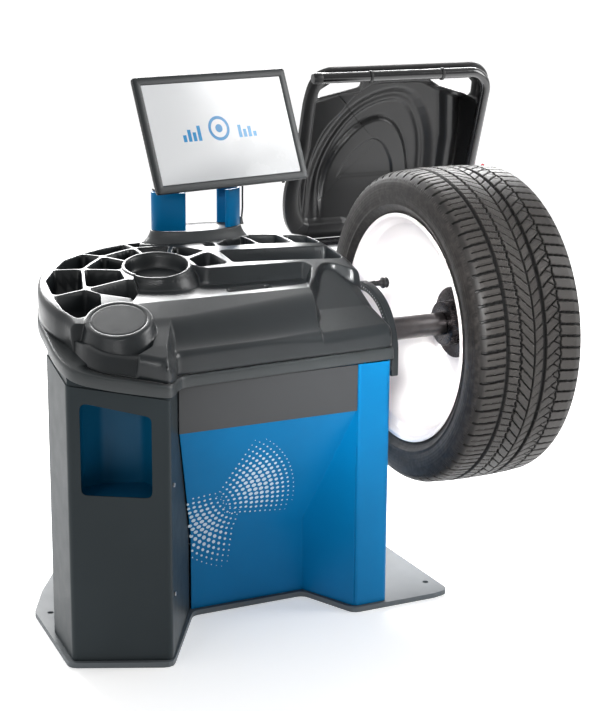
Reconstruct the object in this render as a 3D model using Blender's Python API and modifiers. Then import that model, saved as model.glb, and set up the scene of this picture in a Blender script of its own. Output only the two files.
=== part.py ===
"""Car wheel balancer: cabinet, weight tray, tilting screen, balancing spindle with a wheel, gauge and guard.

Metres, +Z up, front towards -Y. The origin is on the floor, below the spindle axis, in the plane of the
cabinet's right side.
"""

import math

import bmesh
import bpy
from mathutils import Euler, Matrix, Vector

GAP = 0.0004  # clearance between touching pieces
SHEET = 0.003  # cabinet sheet metal

# Cabinet
PLATE_TOP = 0.012
CABINET_BOTTOM = PLATE_TOP + GAP
CABINET_TOP = 0.584
FRONT_Y = -0.200
REAR_Y = 0.330
BAND_BOTTOM = 0.478
LOWER_WALL_Y = -0.058
CREASE_Z = 0.190
COLUMN_LEFT = -0.083
PANEL_RIGHT_LOW = -0.147
POD_INNER = Vector((-0.432, -0.059))
POD_FRONT_RIGHT = Vector((-0.568, -0.294))
POD_FRONT_LEFT = Vector((-0.761, -0.209))
POD_REAR_LEFT = Vector((-0.748, -0.047))
SIDE_REAR_LEFT = Vector((-0.600, REAR_Y))

# Weight tray: plan outline as (x, y, height of its lower edge), anticlockwise from the front right
TRAY_EDGE = [
    (0.006, -0.196, 0.588), (-0.002, -0.204, 0.588), (-0.020, -0.205, 0.588), (-0.250, -0.217, 0.588),
    (-0.490, -0.232, 0.588),
    (-0.528, -0.248, 0.588), (-0.572, -0.298, 0.590), (-0.630, -0.288, 0.600), (-0.700, -0.258, 0.612), (-0.758, -0.222, 0.626),
    (-0.778, -0.150, 0.640), (-0.774, -0.050, 0.660), (-0.752, 0.040, 0.676), (-0.712, 0.130, 0.690),
    (-0.652, 0.220, 0.698), (-0.570, 0.300, 0.700), (-0.470, 0.362, 0.690), (-0.360, 0.398, 0.670),
    (-0.240, 0.396, 0.650), (-0.120, 0.350, 0.620), (-0.030, 0.285, 0.600), (0.002, 0.225, 0.588),
    (0.006, 0.195, 0.588), (0.006, 0.170, 0.588), (0.006, -0.175, 0.588),
]
SKIRT_HEIGHT = 0.027
TRAY_CENTRE = (-0.360, 0.060)
POCKET_DEPTH = 0.042
WALL = 0.008  # wall between two tray cells
DISH = (-0.445, 0.085, 0.785)
DISH_RADIUS = 0.074
DISH_TILT = math.radians(-11.3)
BOSS = (-0.626, -0.158, 0.731)
BOSS_RADIUS = 0.070
BOSS_TILT = math.radians(-20)
VIEW_TURN = math.radians(-26)  # the dish and the boss lean towards the operator's place

# Screen
SCREEN_CENTRE = Vector((-0.188, 0.300, 1.048))
SCREEN_SIZE = (0.436, 0.276)
SCREEN_ROTATION = (math.radians(-22), 0, math.radians(11.6))
HOUSING_DEPTH = 0.027
TILT_PIVOT_DEPTH = 0.065
UPRIGHT_CENTRE = (-0.240, 0.345)
UPRIGHT_AXES = (0.108, 0.046)
UPRIGHT_BOTTOM = 0.824
UPRIGHT_TOP = 0.903

# Spindle, along X at y 0
SHAFT_Z = 0.600
SHAFT_RADIUS = 0.027
JOURNAL_RADIUS = 0.020
STUB_RADIUS = 0.018
SHAFT_LEFT = -0.285
SHAFT_RIGHT = 0.470
FLANGE_LEFT = 0.246
WHEEL_FACE = 0.310
WHEEL_TURN = math.radians(5)
RIM_LEFT = 0.135
RIM_WIDTH = 0.262
RIM_RADIUS = 0.2715
TYRE_RADIUS = 0.372
TYRE_WIDTH = 0.280
MOTOR_Y, MOTOR_Z = 0.135, 0.460
BELT_X = (-0.262, -0.247)
SPINDLE_PULLEY_RADIUS = 0.045
MOTOR_PULLEY_RADIUS = 0.020

# Gauge
GAUGE_Y, GAUGE_Z = -0.163, 0.560
GAUGE_X = (0.0125, 0.0325)
GAUGE_ARM = [
    (-0.163, 0.538), (-0.162, 0.600), (-0.152, 0.637), (-0.134, 0.668), (-0.110, 0.691),
    (-0.082, 0.706), (-0.050, 0.715), (-0.014, 0.717),
]

# Guard: its own frame turns about X at the pivot and leans forwards
GUARD_PIVOT = Vector((0, 0.550, 0.700))
GUARD_LEAN = math.radians(17)
GUARD_X = (0.090, 0.632)
GUARD_V = (0.042, 0.498)
GUARD_DEPTH = 0.165
TUBE_RADIUS = 0.0135
TUBE_TOP_V = 0.466
TUBE_LEG_X = 0.615
TUBE_BEND = 0.055


def clear_scene():
    for item in list(bpy.data.objects):
        bpy.data.objects.remove(item, do_unlink=True)


clear_scene()
PARTS = bpy.data.collections.new("wheel_balancer")
CUTTERS = bpy.data.collections.new("cutters")
for group in (PARTS, CUTTERS):
    bpy.context.scene.collection.children.link(group)


# Materials


def material(name, color, roughness, metallic=0.0):
    made = bpy.data.materials.new(name)
    made.use_nodes = True
    shader = made.node_tree.nodes["Principled BSDF"]
    shader.inputs["Base Color"].default_value = (*color, 1)
    shader.inputs["Roughness"].default_value = roughness
    shader.inputs["Metallic"].default_value = metallic
    made.diffuse_color = (*color, 1)
    return made


BLUE = material("blue_paint", (0.004, 0.19, 0.47), 0.3)
BAND_GREY = material("band_grey", (0.05, 0.052, 0.055), 0.5)
POD_GREY = material("pod_paint", (0.05, 0.058, 0.062), 0.35)
TRAY_GREY = material("tray_plastic", (0.045, 0.052, 0.055), 0.45)
BLACK = material("black_plastic", (0.012, 0.012, 0.013), 0.5)
GUARD_BLACK = material("guard_plastic", (0.022, 0.022, 0.023), 0.35)
GLASS_GREY = material("screen_glass", (0.8, 0.81, 0.82), 0.2)
DARK_STEEL = material("dark_steel", (0.09, 0.08, 0.08), 0.35, 1)
BRIGHT_STEEL = material("bright_steel", (0.55, 0.55, 0.56), 0.3, 1)
CAST_IRON = material("cast_iron", (0.15, 0.15, 0.16), 0.6, 1)
RIM_PAINT = material("rim_paint", (0.78, 0.72, 0.71), 0.35, 0.2)
TYRE_RUBBER = material("tyre_rubber", (0.02, 0.02, 0.021), 0.75)
RED = material("red_plastic", (0.6, 0.02, 0.02), 0.4)
BELT_RUBBER = material("belt_rubber", (0.02, 0.02, 0.02), 0.8)


# Shapes


def add(name, mesh, finish=None, location=(0, 0, 0), rotation=(0, 0, 0), parent=None, smooth=True):
    """A mesh as a named object: a part when it has a finish, a hidden cutter when it has none."""
    made = bpy.data.objects.new(name, mesh)
    (PARTS if finish else CUTTERS).objects.link(made)
    made.location = location
    made.rotation_euler = rotation
    if parent:
        made.parent = parent
    if finish:
        mesh.materials.append(finish)
        if smooth:
            mesh.shade_smooth()
            mesh.set_sharp_from_angle(angle=math.radians(35))
    else:
        made.hide_render = True
        made.display_type = "WIRE"
    return made


def empty(name, location, rotation=(0, 0, 0), parent=None):
    made = bpy.data.objects.new(name, None)
    PARTS.objects.link(made)
    made.location = location
    made.rotation_euler = rotation
    if parent:
        made.parent = parent
    return made


def mesh_from(name, bm):
    bmesh.ops.recalc_face_normals(bm, faces=bm.faces)
    mesh = bpy.data.meshes.new(name)
    bm.to_mesh(mesh)
    bm.free()
    return mesh


def box_mesh(name, low, high, bevel=0.0):
    bm = bmesh.new()
    size = [h - l for l, h in zip(low, high)]
    middle = [(l + h) / 2 for l, h in zip(low, high)]
    bmesh.ops.create_cube(bm, size=1, matrix=Matrix.Translation(middle) @ Matrix.Diagonal((*size, 1)))
    if bevel:
        bmesh.ops.bevel(bm, geom=bm.edges[:], offset=bevel, segments=1, affect="EDGES", profile=0.5)
    return mesh_from(name, bm)


def box(name, low, high, finish=None, bevel=0.0, **place):
    return add(name, box_mesh(name, low, high, bevel), finish, **place)


def turned(name, profile, finish=None, segments=24, **place):
    """A solid turned about Z: profile is a closed loop of (height, radius)."""
    area = sum(a[1] * b[0] - b[1] * a[0] for a, b in zip(profile, profile[1:] + profile[:1]))
    loop = list(profile) if area < 0 else list(profile)[::-1]
    on_axis = [radius < 1e-6 for _, radius in loop]
    for start in range(len(loop)):
        if on_axis[start] and on_axis[start - 1]:
            loop = loop[start:] + loop[:start]
            break
    bm = bmesh.new()
    points = [bm.verts.new((radius, 0, height)) for height, radius in loop]
    for first, second in zip(points, points[1:]):
        bm.edges.new((first, second))
    if not any(on_axis):
        bm.edges.new((points[-1], points[0]))
    mesh = bpy.data.meshes.new(name)
    bm.to_mesh(mesh)
    bm.free()
    made = add(name, mesh, finish, smooth=False, **place)
    screw = made.modifiers.new("turn", "SCREW")
    screw.steps = segments
    screw.render_steps = segments
    screw.use_merge_vertices = True
    screw.merge_threshold = 0.0001
    return made


def ring(name, profile, finish=None, segments=24, axis_y=0.0, axis_z=SHAFT_Z, parent=None):
    """A solid turned about an axis along X: profile is a closed loop of (x, radius)."""
    place = {"location": (0, axis_y, axis_z), "rotation": (0, math.radians(90), 0), "parent": parent}
    return turned(name, profile, finish, segments, **place)


def rod(name, x_low, x_high, radius, finish=None, segments=24, **place):
    return ring(name, [(x_low, 0), (x_high, 0), (x_high, radius), (x_low, radius)], finish, segments, **place)


def tube_ring(name, x_low, x_high, inner, outer, finish=None, segments=24, **place):
    profile = [(x_low, inner), (x_high, inner), (x_high, outer), (x_low, outer)]
    return ring(name, profile, finish, segments, **place)


def rounded(points, radius, steps=4, closed=True):
    """A 2D polyline with each corner replaced by an arc, at most as large as its sides allow."""
    points = [Vector(point) for point in points]
    count = len(points)
    result = []
    for index, corner in enumerate(points):
        if not closed and index in (0, count - 1):
            result.append(corner.copy())
            continue
        before = (points[index - 1] - corner)
        after = (points[(index + 1) % count] - corner)
        half = before.angle(after) / 2
        reach = min(radius / math.tan(half), before.length * 0.45, after.length * 0.45)
        start = corner + before.normalized() * reach
        end = corner + after.normalized() * reach
        for step in range(steps + 1):
            t = step / steps
            result.append(start * (1 - t) ** 2 + corner * 2 * t * (1 - t) + end * t * t)
    return result


def prism_mesh(name, outline, low, high):
    """A closed prism over a 2D outline, from z low to z high."""
    bm = bmesh.new()
    bottom = [bm.verts.new((point[0], point[1], low)) for point in outline]
    face = bm.faces.new(bottom)
    made = bmesh.ops.extrude_face_region(bm, geom=[face])
    lifted = [item for item in made["geom"] if isinstance(item, bmesh.types.BMVert)]
    bmesh.ops.translate(bm, verts=lifted, vec=(0, 0, high - low))
    return mesh_from(name, bm)


def prism(name, outline, low, high, finish=None, **place):
    return add(name, prism_mesh(name, outline, low, high), finish, **place)


def side_prism(name, outline, x_low, x_high, finish=None, **place):
    """A prism over an outline of (y, z) points, from x_low to x_high."""
    mesh = prism_mesh(name, outline, x_low, x_high)
    mesh.transform(Matrix(((0, 0, 1, 0), (1, 0, 0, 0), (0, 1, 0, 0), (0, 0, 0, 1))))
    return add(name, mesh, finish, **place)


def ribbon(name, points, low, high, finish, thickness=SHEET, closed=False, **place):
    """Folded sheet: a plan polyline raised from low(x, y) to high(x, y), thickened to its left."""
    bm = bmesh.new()
    bottom = [bm.verts.new((x, y, low(x, y))) for x, y in points]
    top = [bm.verts.new((x, y, high(x, y))) for x, y in points]
    count = len(points)
    for index in range(count if closed else count - 1):
        after = (index + 1) % count
        bm.faces.new((bottom[index], bottom[after], top[after], top[index]))
    mesh = bpy.data.meshes.new(name)
    bm.to_mesh(mesh)
    bm.free()
    made = add(name, mesh, finish, **place)
    solid = made.modifiers.new("thickness", "SOLIDIFY")
    solid.thickness = thickness
    solid.offset = -1
    solid.use_even_offset = not closed
    return made


def bent_bar(points, width):
    """The closed outline of a bar of that width along a 2D centre line."""
    points = [Vector(point) for point in points]
    left, right = [], []
    for index, point in enumerate(points):
        before = points[max(index - 1, 0)]
        after = points[min(index + 1, len(points) - 1)]
        along = (after - before).normalized()
        side = Vector((-along.y, along.x)) * width / 2
        left.append(point + side)
        right.append(point - side)
    return left + right[::-1]


def pipe(name, points, radius, finish, closed_caps=True, sides=2, **place):
    """A round tube along points, made a mesh with its caps welded."""
    curve = bpy.data.curves.new(name, "CURVE")
    curve.dimensions = "3D"
    curve.bevel_depth = radius
    curve.bevel_resolution = sides
    curve.use_fill_caps = closed_caps
    spline = curve.splines.new("POLY")
    spline.points.add(len(points) - 1)
    for target, point in zip(spline.points, points):
        target.co = (*point, 1)
    holder = bpy.data.objects.new(name + "_path", curve)
    CUTTERS.objects.link(holder)
    graph = bpy.context.evaluated_depsgraph_get()
    mesh = bpy.data.meshes.new_from_object(holder.evaluated_get(graph))
    bpy.data.objects.remove(holder, do_unlink=True)
    bm = bmesh.new()
    bm.from_mesh(mesh)
    bmesh.ops.remove_doubles(bm, verts=bm.verts, dist=1e-6)
    mesh.materials.clear()
    mesh = mesh_from(name, bm)
    return add(name, mesh, finish, **place)


def boolean(target, operation, *others):
    for other in others:
        step = target.modifiers.new(other.name, "BOOLEAN")
        step.operation = operation
        step.object = other
        step.solver = "EXACT"
    return target


def cut(target, *others):
    return boolean(target, "DIFFERENCE", *others)


def join(target, *others):
    return boolean(target, "UNION", *others)


def smooth_path(points, per_side, closed=True):
    """A cubic curve through points of any dimension, with slopes that suit uneven spacing."""
    points = [Vector(point) for point in points]
    if not closed:
        points = [points[0] * 2 - points[1], *points, points[-1] * 2 - points[-2]]
    count = len(points)
    slopes = []
    for index, point in enumerate(points):
        before = point - points[index - 1]
        after = points[(index + 1) % count] - point
        total = before.length + after.length
        slopes.append((before.normalized() * after.length + after.normalized() * before.length) / total)
    first, last = (0, count) if closed else (1, count - 2)
    result = []
    for index in range(first, last):
        following = (index + 1) % count
        start, end = points[index], points[following]
        length = (end - start).length
        for step in range(per_side):
            t = step / per_side
            result.append(
                start * (1 + 2 * t) * (1 - t) ** 2 + slopes[index] * length * t * (1 - t) ** 2
                + end * t * t * (3 - 2 * t) - slopes[following] * length * t * t * (1 - t)
            )
    if not closed:
        result.append(points[-2])
    return result


def shrunk(outline, amount):
    """A 2D outline moved inwards by amount at each corner."""
    points = [Vector(point[:2]) for point in outline]
    area = sum(a.x * b.y - b.x * a.y for a, b in zip(points, points[1:] + points[:1]))
    turn = 1 if area > 0 else -1
    result = []
    for index, point in enumerate(points):
        before = (point - points[index - 1]).normalized()
        after = (points[(index + 1) % len(points)] - point).normalized()
        inward = Vector((-(before.y + after.y), before.x + after.x)) * turn
        spread = max(0.35, math.sqrt(max(0.0, (1 + before.dot(after)) / 2)))
        result.append(point + inward.normalized() * amount / spread)
    return result


# Cabinet


def floor_plate():
    outline = rounded([
        (0.165, -0.200), (0.168, 0.120), (0.060, 0.420), (-0.560, 0.420), (-0.700, 0.190),
        (-0.752, 0.080), (-0.772, -0.215), (-0.571, -0.305), (-0.428, -0.068), (-0.150, -0.068),
        (-0.090, -0.209), (0.120, -0.209),
    ], 0.025, 3)
    plate = prism("base_plate", outline, 0, PLATE_TOP, CAST_IRON, smooth=False)
    for index, (x, y) in enumerate(((0.138, -0.140), (-0.722, 0.060), (-0.300, 0.385))):
        hole = add(f"anchor_hole_{index}", cylinder_mesh("anchor_hole", 0.007, -0.01, 0.03), location=(x, y, 0))
        cut(plate, hole)


def cylinder_mesh(name, radius, low, high, segments=20):
    bm = bmesh.new()
    bmesh.ops.create_cone(
        bm, cap_ends=True, segments=segments, radius1=radius, radius2=radius, depth=high - low,
        matrix=Matrix.Translation((0, 0, (low + high) / 2)),
    )
    return mesh_from(name, bm)


def front_panel():
    """Blue front: a strip behind the band, a facet sloping back, a lower wall and a splayed side."""
    face_y = FRONT_Y + 0.0035
    left_top = (-0.5085, face_y)
    left_low = (-0.4275, LOWER_WALL_Y)
    right_top = (COLUMN_LEFT - 0.002, face_y)
    right_low = (PANEL_RIGHT_LOW, LOWER_WALL_Y)
    bm = bmesh.new()

    def corner(plan, z):
        return bm.verts.new((*plan, z))

    top = [corner(left_top, CABINET_TOP), corner(right_top, CABINET_TOP)]
    band = [corner(left_top, BAND_BOTTOM), corner(right_top, BAND_BOTTOM)]
    crease = [corner(left_low, CREASE_Z), corner(right_low, CREASE_Z)]
    foot = [corner(left_low, CABINET_BOTTOM), corner(right_low, CABINET_BOTTOM)]
    outer_foot = corner(right_top, CABINET_BOTTOM)
    for upper, lower in ((top, band), (band, crease), (crease, foot)):
        bm.faces.new((lower[0], lower[1], upper[1], upper[0]))
    bm.faces.new((foot[1], outer_foot, band[1], crease[1]))
    mesh = bpy.data.meshes.new("front_panel")
    bm.to_mesh(mesh)
    bm.free()
    panel = add("front_panel", mesh, BLUE)
    solid = panel.modifiers.new("thickness", "SOLIDIFY")
    solid.thickness = SHEET
    solid.offset = -1
    solid.use_even_offset = True
    band_low = (-0.511, FRONT_Y, BAND_BOTTOM)
    box("front_band", band_low, (COLUMN_LEFT - 0.0015, FRONT_Y + 0.003, CABINET_TOP), BAND_GREY, 0.0008)


def level(height):
    return lambda x, y: height


def right_side():
    """The right column and side panel, one folded sheet with openings for the shaft and the gauge rod."""
    plan = rounded([
        (COLUMN_LEFT, -0.178), (COLUMN_LEFT, FRONT_Y), (0.0, FRONT_Y), (0.0, REAR_Y - 0.004),
    ], 0.012, closed=False)
    side = ribbon("right_side_panel", plan, level(CABINET_BOTTOM), level(CABINET_TOP), BLUE)
    cut(side, rod("shaft_opening", -0.03, 0.03, 0.036))
    cut(side, rod("gauge_opening", -0.03, 0.03, 0.010, axis_y=GAUGE_Y, axis_z=GAUGE_Z, segments=16))


def tray_edge_height(x, y):
    """Height of the tray's lower edge nearest to a plan point."""
    nearest = min(TRAY_EDGE, key=lambda point: (point[0] - x) ** 2 + (point[1] - y) ** 2)
    return nearest[2]


def pod_top(x, y):
    """The pod's upper edge climbs to the left and to the rear, under the tray's skirt."""
    climb = max(0.0, (POD_FRONT_RIGHT.x - x) / (POD_FRONT_RIGHT.x - POD_FRONT_LEFT.x))
    return CABINET_TOP + 0.032 * min(climb, 1.0) + 0.19 * max(0.0, y + 0.209) * min(climb, 1.0)


def pod():
    """Corner pod: a folded dark cover with a niche in its front face, and the niche's blue liner."""
    plan = rounded([
        POD_REAR_LEFT, POD_FRONT_LEFT, POD_FRONT_RIGHT, POD_INNER + Vector((-0.0005, 0.0008)),
    ], 0.014, closed=False)
    cover = ribbon("pod_cover", plan, level(CABINET_BOTTOM), pod_top, POD_GREY)
    along = (POD_FRONT_RIGHT - POD_FRONT_LEFT).normalized()
    turn = math.atan2(along.y, along.x)
    place = {"location": (*POD_FRONT_LEFT, 0), "rotation": (0, 0, turn)}
    window = rounded([(0.026, 0.382), (0.026, 0.580), (0.172, 0.548), (0.172, 0.374)], 0.014)
    mesh = prism_mesh("niche_window", window, -0.03, 0.03)
    mesh.transform(Matrix.Rotation(math.radians(90), 4, "X"))
    cut(cover, add("niche_window", mesh, **place))
    tub = [(0.016, 0.0045), (0.190, 0.0045), (0.190, 0.075), (0.150, 0.128), (0.060, 0.128), (0.016, 0.085)]
    bore = [(0.020, -0.02), (0.186, -0.02), (0.186, 0.074), (0.148, 0.124), (0.062, 0.124), (0.020, 0.084)]
    liner = prism("pod_liner", rounded(tub, 0.03), 0.362, 0.588, BLUE, **place)
    bore_outline = rounded(bore, 0.03)
    cut(liner, prism("niche_bore", bore_outline, 0.368, 0.62, **place))
    for index, (x, z) in enumerate(((0.012, 0.392), (0.012, 0.150))):
        head = cylinder_mesh("pod_screw", 0.005, 0, 0.003, 12)
        screw_place = POD_FRONT_RIGHT.lerp(POD_INNER, 0.12)
        out = Vector((POD_INNER.y - POD_FRONT_RIGHT.y, POD_FRONT_RIGHT.x - POD_INNER.x)).normalized()
        spot = screw_place + out * 0.0005
        rotation = out.to_3d().to_track_quat("Z", "Y").to_euler()
        add(f"pod_screw_{index + 1}", head, BRIGHT_STEEL, location=(spot.x, spot.y, z), rotation=rotation)


def rear_and_left():
    plan = [(SIDE_REAR_LEFT.x + 0.004, REAR_Y - 0.004), (POD_REAR_LEFT.x + 0.004, POD_REAR_LEFT.y + 0.006)]
    ribbon("left_side_panel", plan, level(CABINET_BOTTOM), level(0.655), POD_GREY)
    low = (SIDE_REAR_LEFT.x, REAR_Y - 0.003, CABINET_BOTTOM)
    box("rear_panel", low, (0.0, REAR_Y, 0.600), BLUE)
    inlet = (-0.500, REAR_Y + GAP, 0.100)
    module = box("power_inlet", inlet, (-0.440, REAR_Y + 0.022, 0.145), BLACK, 0.002)
    join(module, box("switch_housing", (-0.450, REAR_Y + GAP, 0.100), (-0.385, REAR_Y + 0.010, 0.145)))
    cut(module, box("rocker_pocket", (-0.4135, REAR_Y + 0.004, 0.1055), (-0.3915, REAR_Y + 0.040, 0.1395)))
    rocker_axis = empty("rocker_axis", (-0.4025, REAR_Y + 0.013, 0.1225), (math.radians(6), 0, 0))
    box("power_rocker", (-0.010, -0.0024, -0.016), (0.010, 0.0035, 0.016), RED, 0.001, parent=rocker_axis)


# Weight tray


def deck_height(x, y):
    """The tray's top: almost level at the rear, falling faster and faster towards the front."""
    return 0.7745 + 0.18 * y - 0.4 * y * y + 0.02 * x


def blend(low, high, value):
    t = min(max((value - low) / (high - low), 0.0), 1.0)
    return t * t * (3 - 2 * t)


def ramp(value, stops):
    """Piecewise linear height over (position, height) stops."""
    for (start, first), (end, second) in zip(stops, stops[1:]):
        if value <= end:
            t = max(0.0, (value - start) / (end - start))
            return first + (second - first) * t
    return stops[-1][1]


NOSE_RAMP = [(-0.300, 0.664), (-0.240, 0.690), (-0.050, 0.757), (0.100, 0.790)]
RIDGE_RAMP = [(-0.235, 0.672), (-0.215, 0.682), (-0.180, 0.698), (-0.140, 0.735), (0.0, 0.790)]
HUMP_RAMP = [(-0.215, 0.650), (-0.190, 0.662), (-0.070, 0.758), (0.0, 0.790)]


def tray_top(x, y):
    nose, ridge, hump = ramp(y, NOSE_RAMP), ramp(y, RIDGE_RAMP), ramp(y, HUMP_RAMP)
    front = nose + (ridge - nose) * blend(-0.530, -0.470, x)
    front += (hump - front) * blend(-0.240, -0.200, x)
    return min(deck_height(x, y), front)


def tray_cells():
    """Plan outlines of the cells, along the centre lines of the walls between them."""
    outer = [(-0.712, -0.105), (-0.722, -0.010), (-0.672, 0.148), (-0.566, 0.264), (-0.412, 0.362)]
    inner = [(-0.640, -0.060), (-0.642, 0.010), (-0.610, 0.124), (-0.535, 0.228), (-0.428, 0.247)]
    hub = [(-0.560, -0.030), (-0.552, 0.030), (-0.536, 0.098), (-0.500, 0.150), (-0.446, 0.184)]
    cells = []
    for index in range(4):
        cells.append([outer[index], inner[index], inner[index + 1], outer[index + 1]])
        cells.append([inner[index], hub[index], hub[index + 1], inner[index + 1]])
    cells.append([outer[4], inner[4], (-0.356, 0.222), (-0.372, 0.290)])
    cells.append([inner[4], hub[4], (-0.372, 0.172), (-0.356, 0.222)])
    rear = [(-0.238, 0.232), (-0.142, 0.330), (-0.062, 0.268), (-0.006, 0.214)]
    front = [(-0.246, 0.192), (-0.150, 0.173), (-0.066, 0.155), (-0.006, 0.135)]
    for index in range(3):
        cells.append([rear[index], front[index], front[index + 1], rear[index + 1]])
    cells.append([(-0.262, 0.158), (-0.276, 0.062), (-0.004, 0.026), (-0.004, 0.116)])
    cells.append([(-0.340, 0.128), (-0.345, 0.075), (-0.284, 0.066), (-0.272, 0.146), (-0.296, 0.160)])
    return cells


def tray_body():
    """The moulded tray: a lofted block under the deck surface, before its cells are cut."""
    edge = smooth_path(TRAY_EDGE, 2)
    centre = Vector(TRAY_CENTRE)
    bm = bmesh.new()
    levels = [(0.965, 0.02), (1.0, 0.0), (1.0, 0.4), (0.985, 0.8), (0.955, 1.0), (0.85, 1.0), (0.68, 1.0), (0.40, 1.0)]
    rings = []
    for scale, share in levels:
        row = []
        for point in edge:
            x, y = centre + (point.to_2d() - centre) * scale
            base = point.z + SKIRT_HEIGHT + GAP
            row.append(bm.verts.new((x, y, base + (tray_top(x, y) - base) * share)))
        rings.append(row)
    count = len(edge)
    for lower, upper in zip(rings, rings[1:]):
        for index in range(count):
            after = (index + 1) % count
            bm.faces.new((lower[index], lower[after], upper[after], upper[index]))
    middle = bm.verts.new((*centre, tray_top(*centre)))
    for index in range(count):
        bm.faces.new((rings[-1][index], rings[-1][(index + 1) % count], middle))
    underside = bm.verts.new((*centre, TRAY_EDGE[0][2] + SKIRT_HEIGHT + GAP))
    for index in range(count):
        bm.faces.new((rings[0][(index + 1) % count], rings[0][index], underside))
    return add("weight_tray", mesh_from("weight_tray", bm), TRAY_GREY)


def tilted(name, profile, place, tilt, finish=None, segments=28):
    """A solid turned about a near-vertical axis that leans towards the operator."""
    return turned(name, profile, finish, segments, location=place, rotation=(-tilt, 0, VIEW_TURN))


def weight_tray():
    tray = tray_body()
    for index, cell in enumerate(tray_cells()):
        middle = sum((Vector(point) for point in cell), Vector((0, 0))) / len(cell)
        floor = min(tray_top(*point) for point in cell) * 0.5 + tray_top(*middle) * 0.5 - POCKET_DEPTH
        outline = rounded(shrunk(cell, WALL / 2), 0.010, 2)
        cut(tray, prism(f"cell_{index + 1}", outline, floor, 0.90))
    cut(tray, prism("collar_seat", oval((0.1375, 0.0735)), 0.7755, 0.90))
    recess = rounded([(-0.345, 0.040), (-0.372, -0.060), (-0.160, -0.078), (-0.108, 0.008)], 0.010, 2)
    lowered = prism("tool_recess", recess, 0.0, 0.10, location=(0, 0, 0.746), rotation=(math.radians(10), 0, 0))
    cut(tray, lowered)
    hollow = [(-0.016, -0.062), (-0.016, 0.190), (-0.110, 0.300), (-0.300, 0.350), (-0.420, 0.320),
              (-0.540, 0.210), (-0.610, 0.080), (-0.615, -0.020), (-0.600, -0.062)]
    cut(tray, prism("underside_hollow", hollow, 0.50, 0.695))
    cut(tray, rod("tray_shaft_notch", -0.06, 0.06, 0.036))
    dish_side = [(-0.075, 0), (0.0, 0), (0.0, 0.080), (-0.006, 0.084), (-0.050, 0.102), (-0.075, 0.104)]
    boss_side = [(-0.055, 0), (0.0, 0), (0.0, 0.068), (-0.006, 0.074), (-0.055, 0.084)]
    join(tray, tilted("dish_form", dish_side, DISH, DISH_TILT), tilted("boss_form", boss_side, BOSS, BOSS_TILT))
    cut(tray, tilted("dish_hollow", [(-0.034, 0), (0.03, 0), (0.03, 0.074), (-0.034, 0.066)], DISH, DISH_TILT))
    skirt_plan = [point.to_2d() for point in smooth_path(TRAY_EDGE, 2)]
    heights = {(round(p.x, 6), round(p.y, 6)): p.z for p in smooth_path(TRAY_EDGE, 2)}

    def low(x, y):
        return heights[(round(x, 6), round(y, 6))]

    def high(x, y):
        return low(x, y) + SKIRT_HEIGHT

    skirt_plan = skirt_plan[::-1]
    skirt = ribbon("tray_skirt", skirt_plan, low, high, BLACK, 0.005, closed=True)
    cut(skirt, rod("skirt_shaft_notch", -0.06, 0.06, 0.036))
    return tray


# Screen


def upright(name, middle_angle, spread):
    """One curved blade of the screen support, an arc of an oval."""
    points = []
    for step in range(9):
        angle = math.radians(middle_angle + spread * (step / 8 - 0.5))
        x = UPRIGHT_CENTRE[0] + UPRIGHT_AXES[0] * math.cos(angle)
        y = UPRIGHT_CENTRE[1] + UPRIGHT_AXES[1] * math.sin(angle)
        points.append((x, y))
    return ribbon(name, points, level(UPRIGHT_BOTTOM), level(UPRIGHT_TOP), BLUE, 0.010)


def oval(scale, steps=28):
    return [
        (
            UPRIGHT_CENTRE[0] + scale[0] * math.cos(2 * math.pi * step / steps),
            UPRIGHT_CENTRE[1] + scale[1] * math.sin(2 * math.pi * step / steps),
        )
        for step in range(steps)
    ]


def collar():
    """Oval collar with a flared foot on the tray's rear."""
    bm = bmesh.new()
    sections = [((0.136, 0.072), 0.776), ((0.136, 0.072), 0.790), ((0.122, 0.058), 0.812), ((0.118, 0.056), 0.8236)]
    rows = [[bm.verts.new((x, y, z)) for x, y in oval(scale)] for scale, z in sections]
    for lower, upper in zip(rows, rows[1:]):
        for index in range(len(lower)):
            after = (index + 1) % len(lower)
            bm.faces.new((lower[index], lower[after], upper[after], upper[index]))
    bm.faces.new(rows[0][::-1])
    bm.faces.new(rows[-1])
    add("monitor_collar", mesh_from("monitor_collar", bm), BLACK)


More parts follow.
